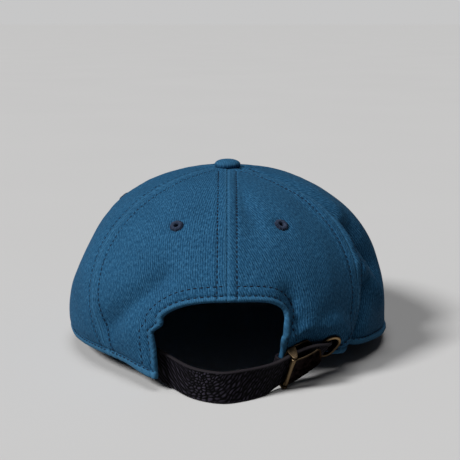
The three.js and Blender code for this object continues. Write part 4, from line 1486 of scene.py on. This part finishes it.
def build_buckle_lid():
    b = BUCKLE
    low_y = b.lower + b.ear + b.ear_gap
    high_y = b.upper - b.ear - b.ear_gap
    swing = np.linspace(0, math.pi / 2, LID.end_steps)[1:]
    share = np.concatenate((np.linspace(0, LID.even, LID.steps), LID.even + (1 - LID.even) * np.sin(swing)))
    tip = np.clip((share - 1 + LID.tip) / LID.tip, 0, 1)
    rounding = LID.tip_round * (1 - half_round(tip, 0, 1))
    x = lerp(b.pin_x, b.lid_end, share)
    z = b.pin_z + b.barrel - b.lid / 2 + b.lid_bow * np.sin(math.pi * share**0.8)
    start = low_y + b.lower_taper * share + rounding
    end = high_y - b.upper_taper * share - rounding
    half_width = (end - start)[:, None] / 2
    loop = rounded_loop(LID.face, LID.face, LID.corner_steps)
    corner = LID.corner * b.lid / 2 * np.sqrt(np.clip(1 - LID.thinning * tip**2, 0.2, 1))[:, None]
    across, outward = oblong(loop, half_width, b.lid / 2, corner)
    bulge = LID.bulge * (1 - (across / half_width) ** 2)
    points = np.stack((
        x[:, None] + 0 * across, (start + end)[:, None] / 2 + across, z[:, None] + outward + bulge - LID.sink
    ), -1)
    index = numbered(across.shape)
    faces = [*cells(index, wrap=True), index[0], index[-1][::-1]]
    worn_and_highlighted = (loop["corner_across"] != 0) * BRASS_RUBBING_AND_HIGHLIGHT.lid_edge + BRASS_RUBBING_AND_HIGHLIGHT.lid_tip * tip[:, None] ** 2
    plate = (points.reshape(-1, 3), faces, worn_and_highlighted.ravel())
    points, faces, worn_and_highlighted = joined(plate, round_bar(b.barrel, low_y, high_y))
    make_piece(
        "brass_buckle_lid", skewed(points), faces, BRASS_LOOK, "brass", "buckle_lever",
        body=LID_BODY, wear=worn_and_highlighted,
    )


# Stage: camera, lights and floor

PHOTO_SIZE = 460
FOCAL_PIXELS = 958
CAMERA_BACK = 536.7
CAMERA_SIDE = 1.45
CAMERA_HEIGHT = 179.6
CAMERA_DOWN = 12.36
KEY_LIGHT = SimpleNamespace(direction=(0.66, 0.41, -0.70), power=2.9, softness=15)
TOP_LIGHT = SimpleNamespace(direction=(0.0, 0.2, -1), power=1.05, softness=32)
FLOOR_HALF = 40.0  # metres
FLOOR_TONES = ((0.610, 0.606, 0.602, 1), (0.622, 0.618, 0.614, 1))
FLOOR_BOUNCE = (0.25, 0.25, 0.25, 1)  # what the floor throws back onto the cap, as a dark table top would
WORLD_LIGHT = (0.030, 0.030, 0.032, 1)
WORLD_SEEN = (0.57, 0.57, 0.572, 1)


def build_camera():
    data = bpy.data.cameras.new("photo_camera")
    data.sensor_fit = "HORIZONTAL"
    data.lens = data.sensor_width * FOCAL_PIXELS / PHOTO_SIZE
    data.clip_start = 0.01
    camera = new_object("photo_camera", data)
    camera.location = in_frame((CAMERA_SIDE, -CAMERA_BACK, CAMERA_HEIGHT))
    camera.rotation_euler = (math.radians(90 - CAMERA_DOWN), 0, 0)
    bpy.context.scene.camera = camera


def add_sun(name, sun):
    """A soft far light that shines along a direction."""
    data = bpy.data.lights.new(name, "SUN")
    data.energy = sun.power
    data.angle = math.radians(sun.softness)
    light = new_object(name, data)
    light.rotation_euler = Vector(sun.direction).to_track_quat("-Z", "Y").to_euler()


def build_floor():
    corners = [(x * FLOOR_HALF, y * FLOOR_HALF, 0) for x, y in ((-1, -1), (1, -1), (1, 1), (-1, 1))]
    mesh = bpy.data.meshes.new("floor")
    mesh.from_pydata(corners, [], [(0, 1, 2, 3)])
    material, tree, shader = new_material("pale_floor", Roughness=0.8)
    tone = map_range(tree, noise(tree, object_place(tree), 3.0), 0.3, 0.7, 0, 1)
    colour = mix_colours(tree, tone, *FLOOR_TONES)
    bounced = add_node(tree, "ShaderNodeLightPath").outputs["Is Diffuse Ray"]
    colour = mix_colours(tree, bounced, colour, FLOOR_BOUNCE)
    tree.links.new(colour, shader.inputs["Base Color"])
    mesh.materials.append(material)
    floor = new_object("floor", mesh)


def light_world():
    """A dim sky, which the camera sees as a pale backdrop."""
    world = bpy.context.scene.world or bpy.data.worlds.new("studio")
    bpy.context.scene.world = world
    world.use_nodes = True
    tree = world.node_tree
    seen = add_node(tree, "ShaderNodeLightPath").outputs["Is Camera Ray"]
    colour = mix_colours(tree, seen, WORLD_LIGHT, WORLD_SEEN)
    tree.links.new(colour, tree.nodes["Background"].inputs["Color"])


def build_stage():
    build_floor()
    light_world()
    add_sun("key_light", KEY_LIGHT)
    add_sun("top_light", TOP_LIGHT)
    bpy.context.scene.view_settings.view_transform = "Standard"


build_camera()
build_stage()
build_crown()
build_button()
build_visor()
build_strap()
build_tab()
build_grommet()
build_buckle_frame()
build_buckle_lid()
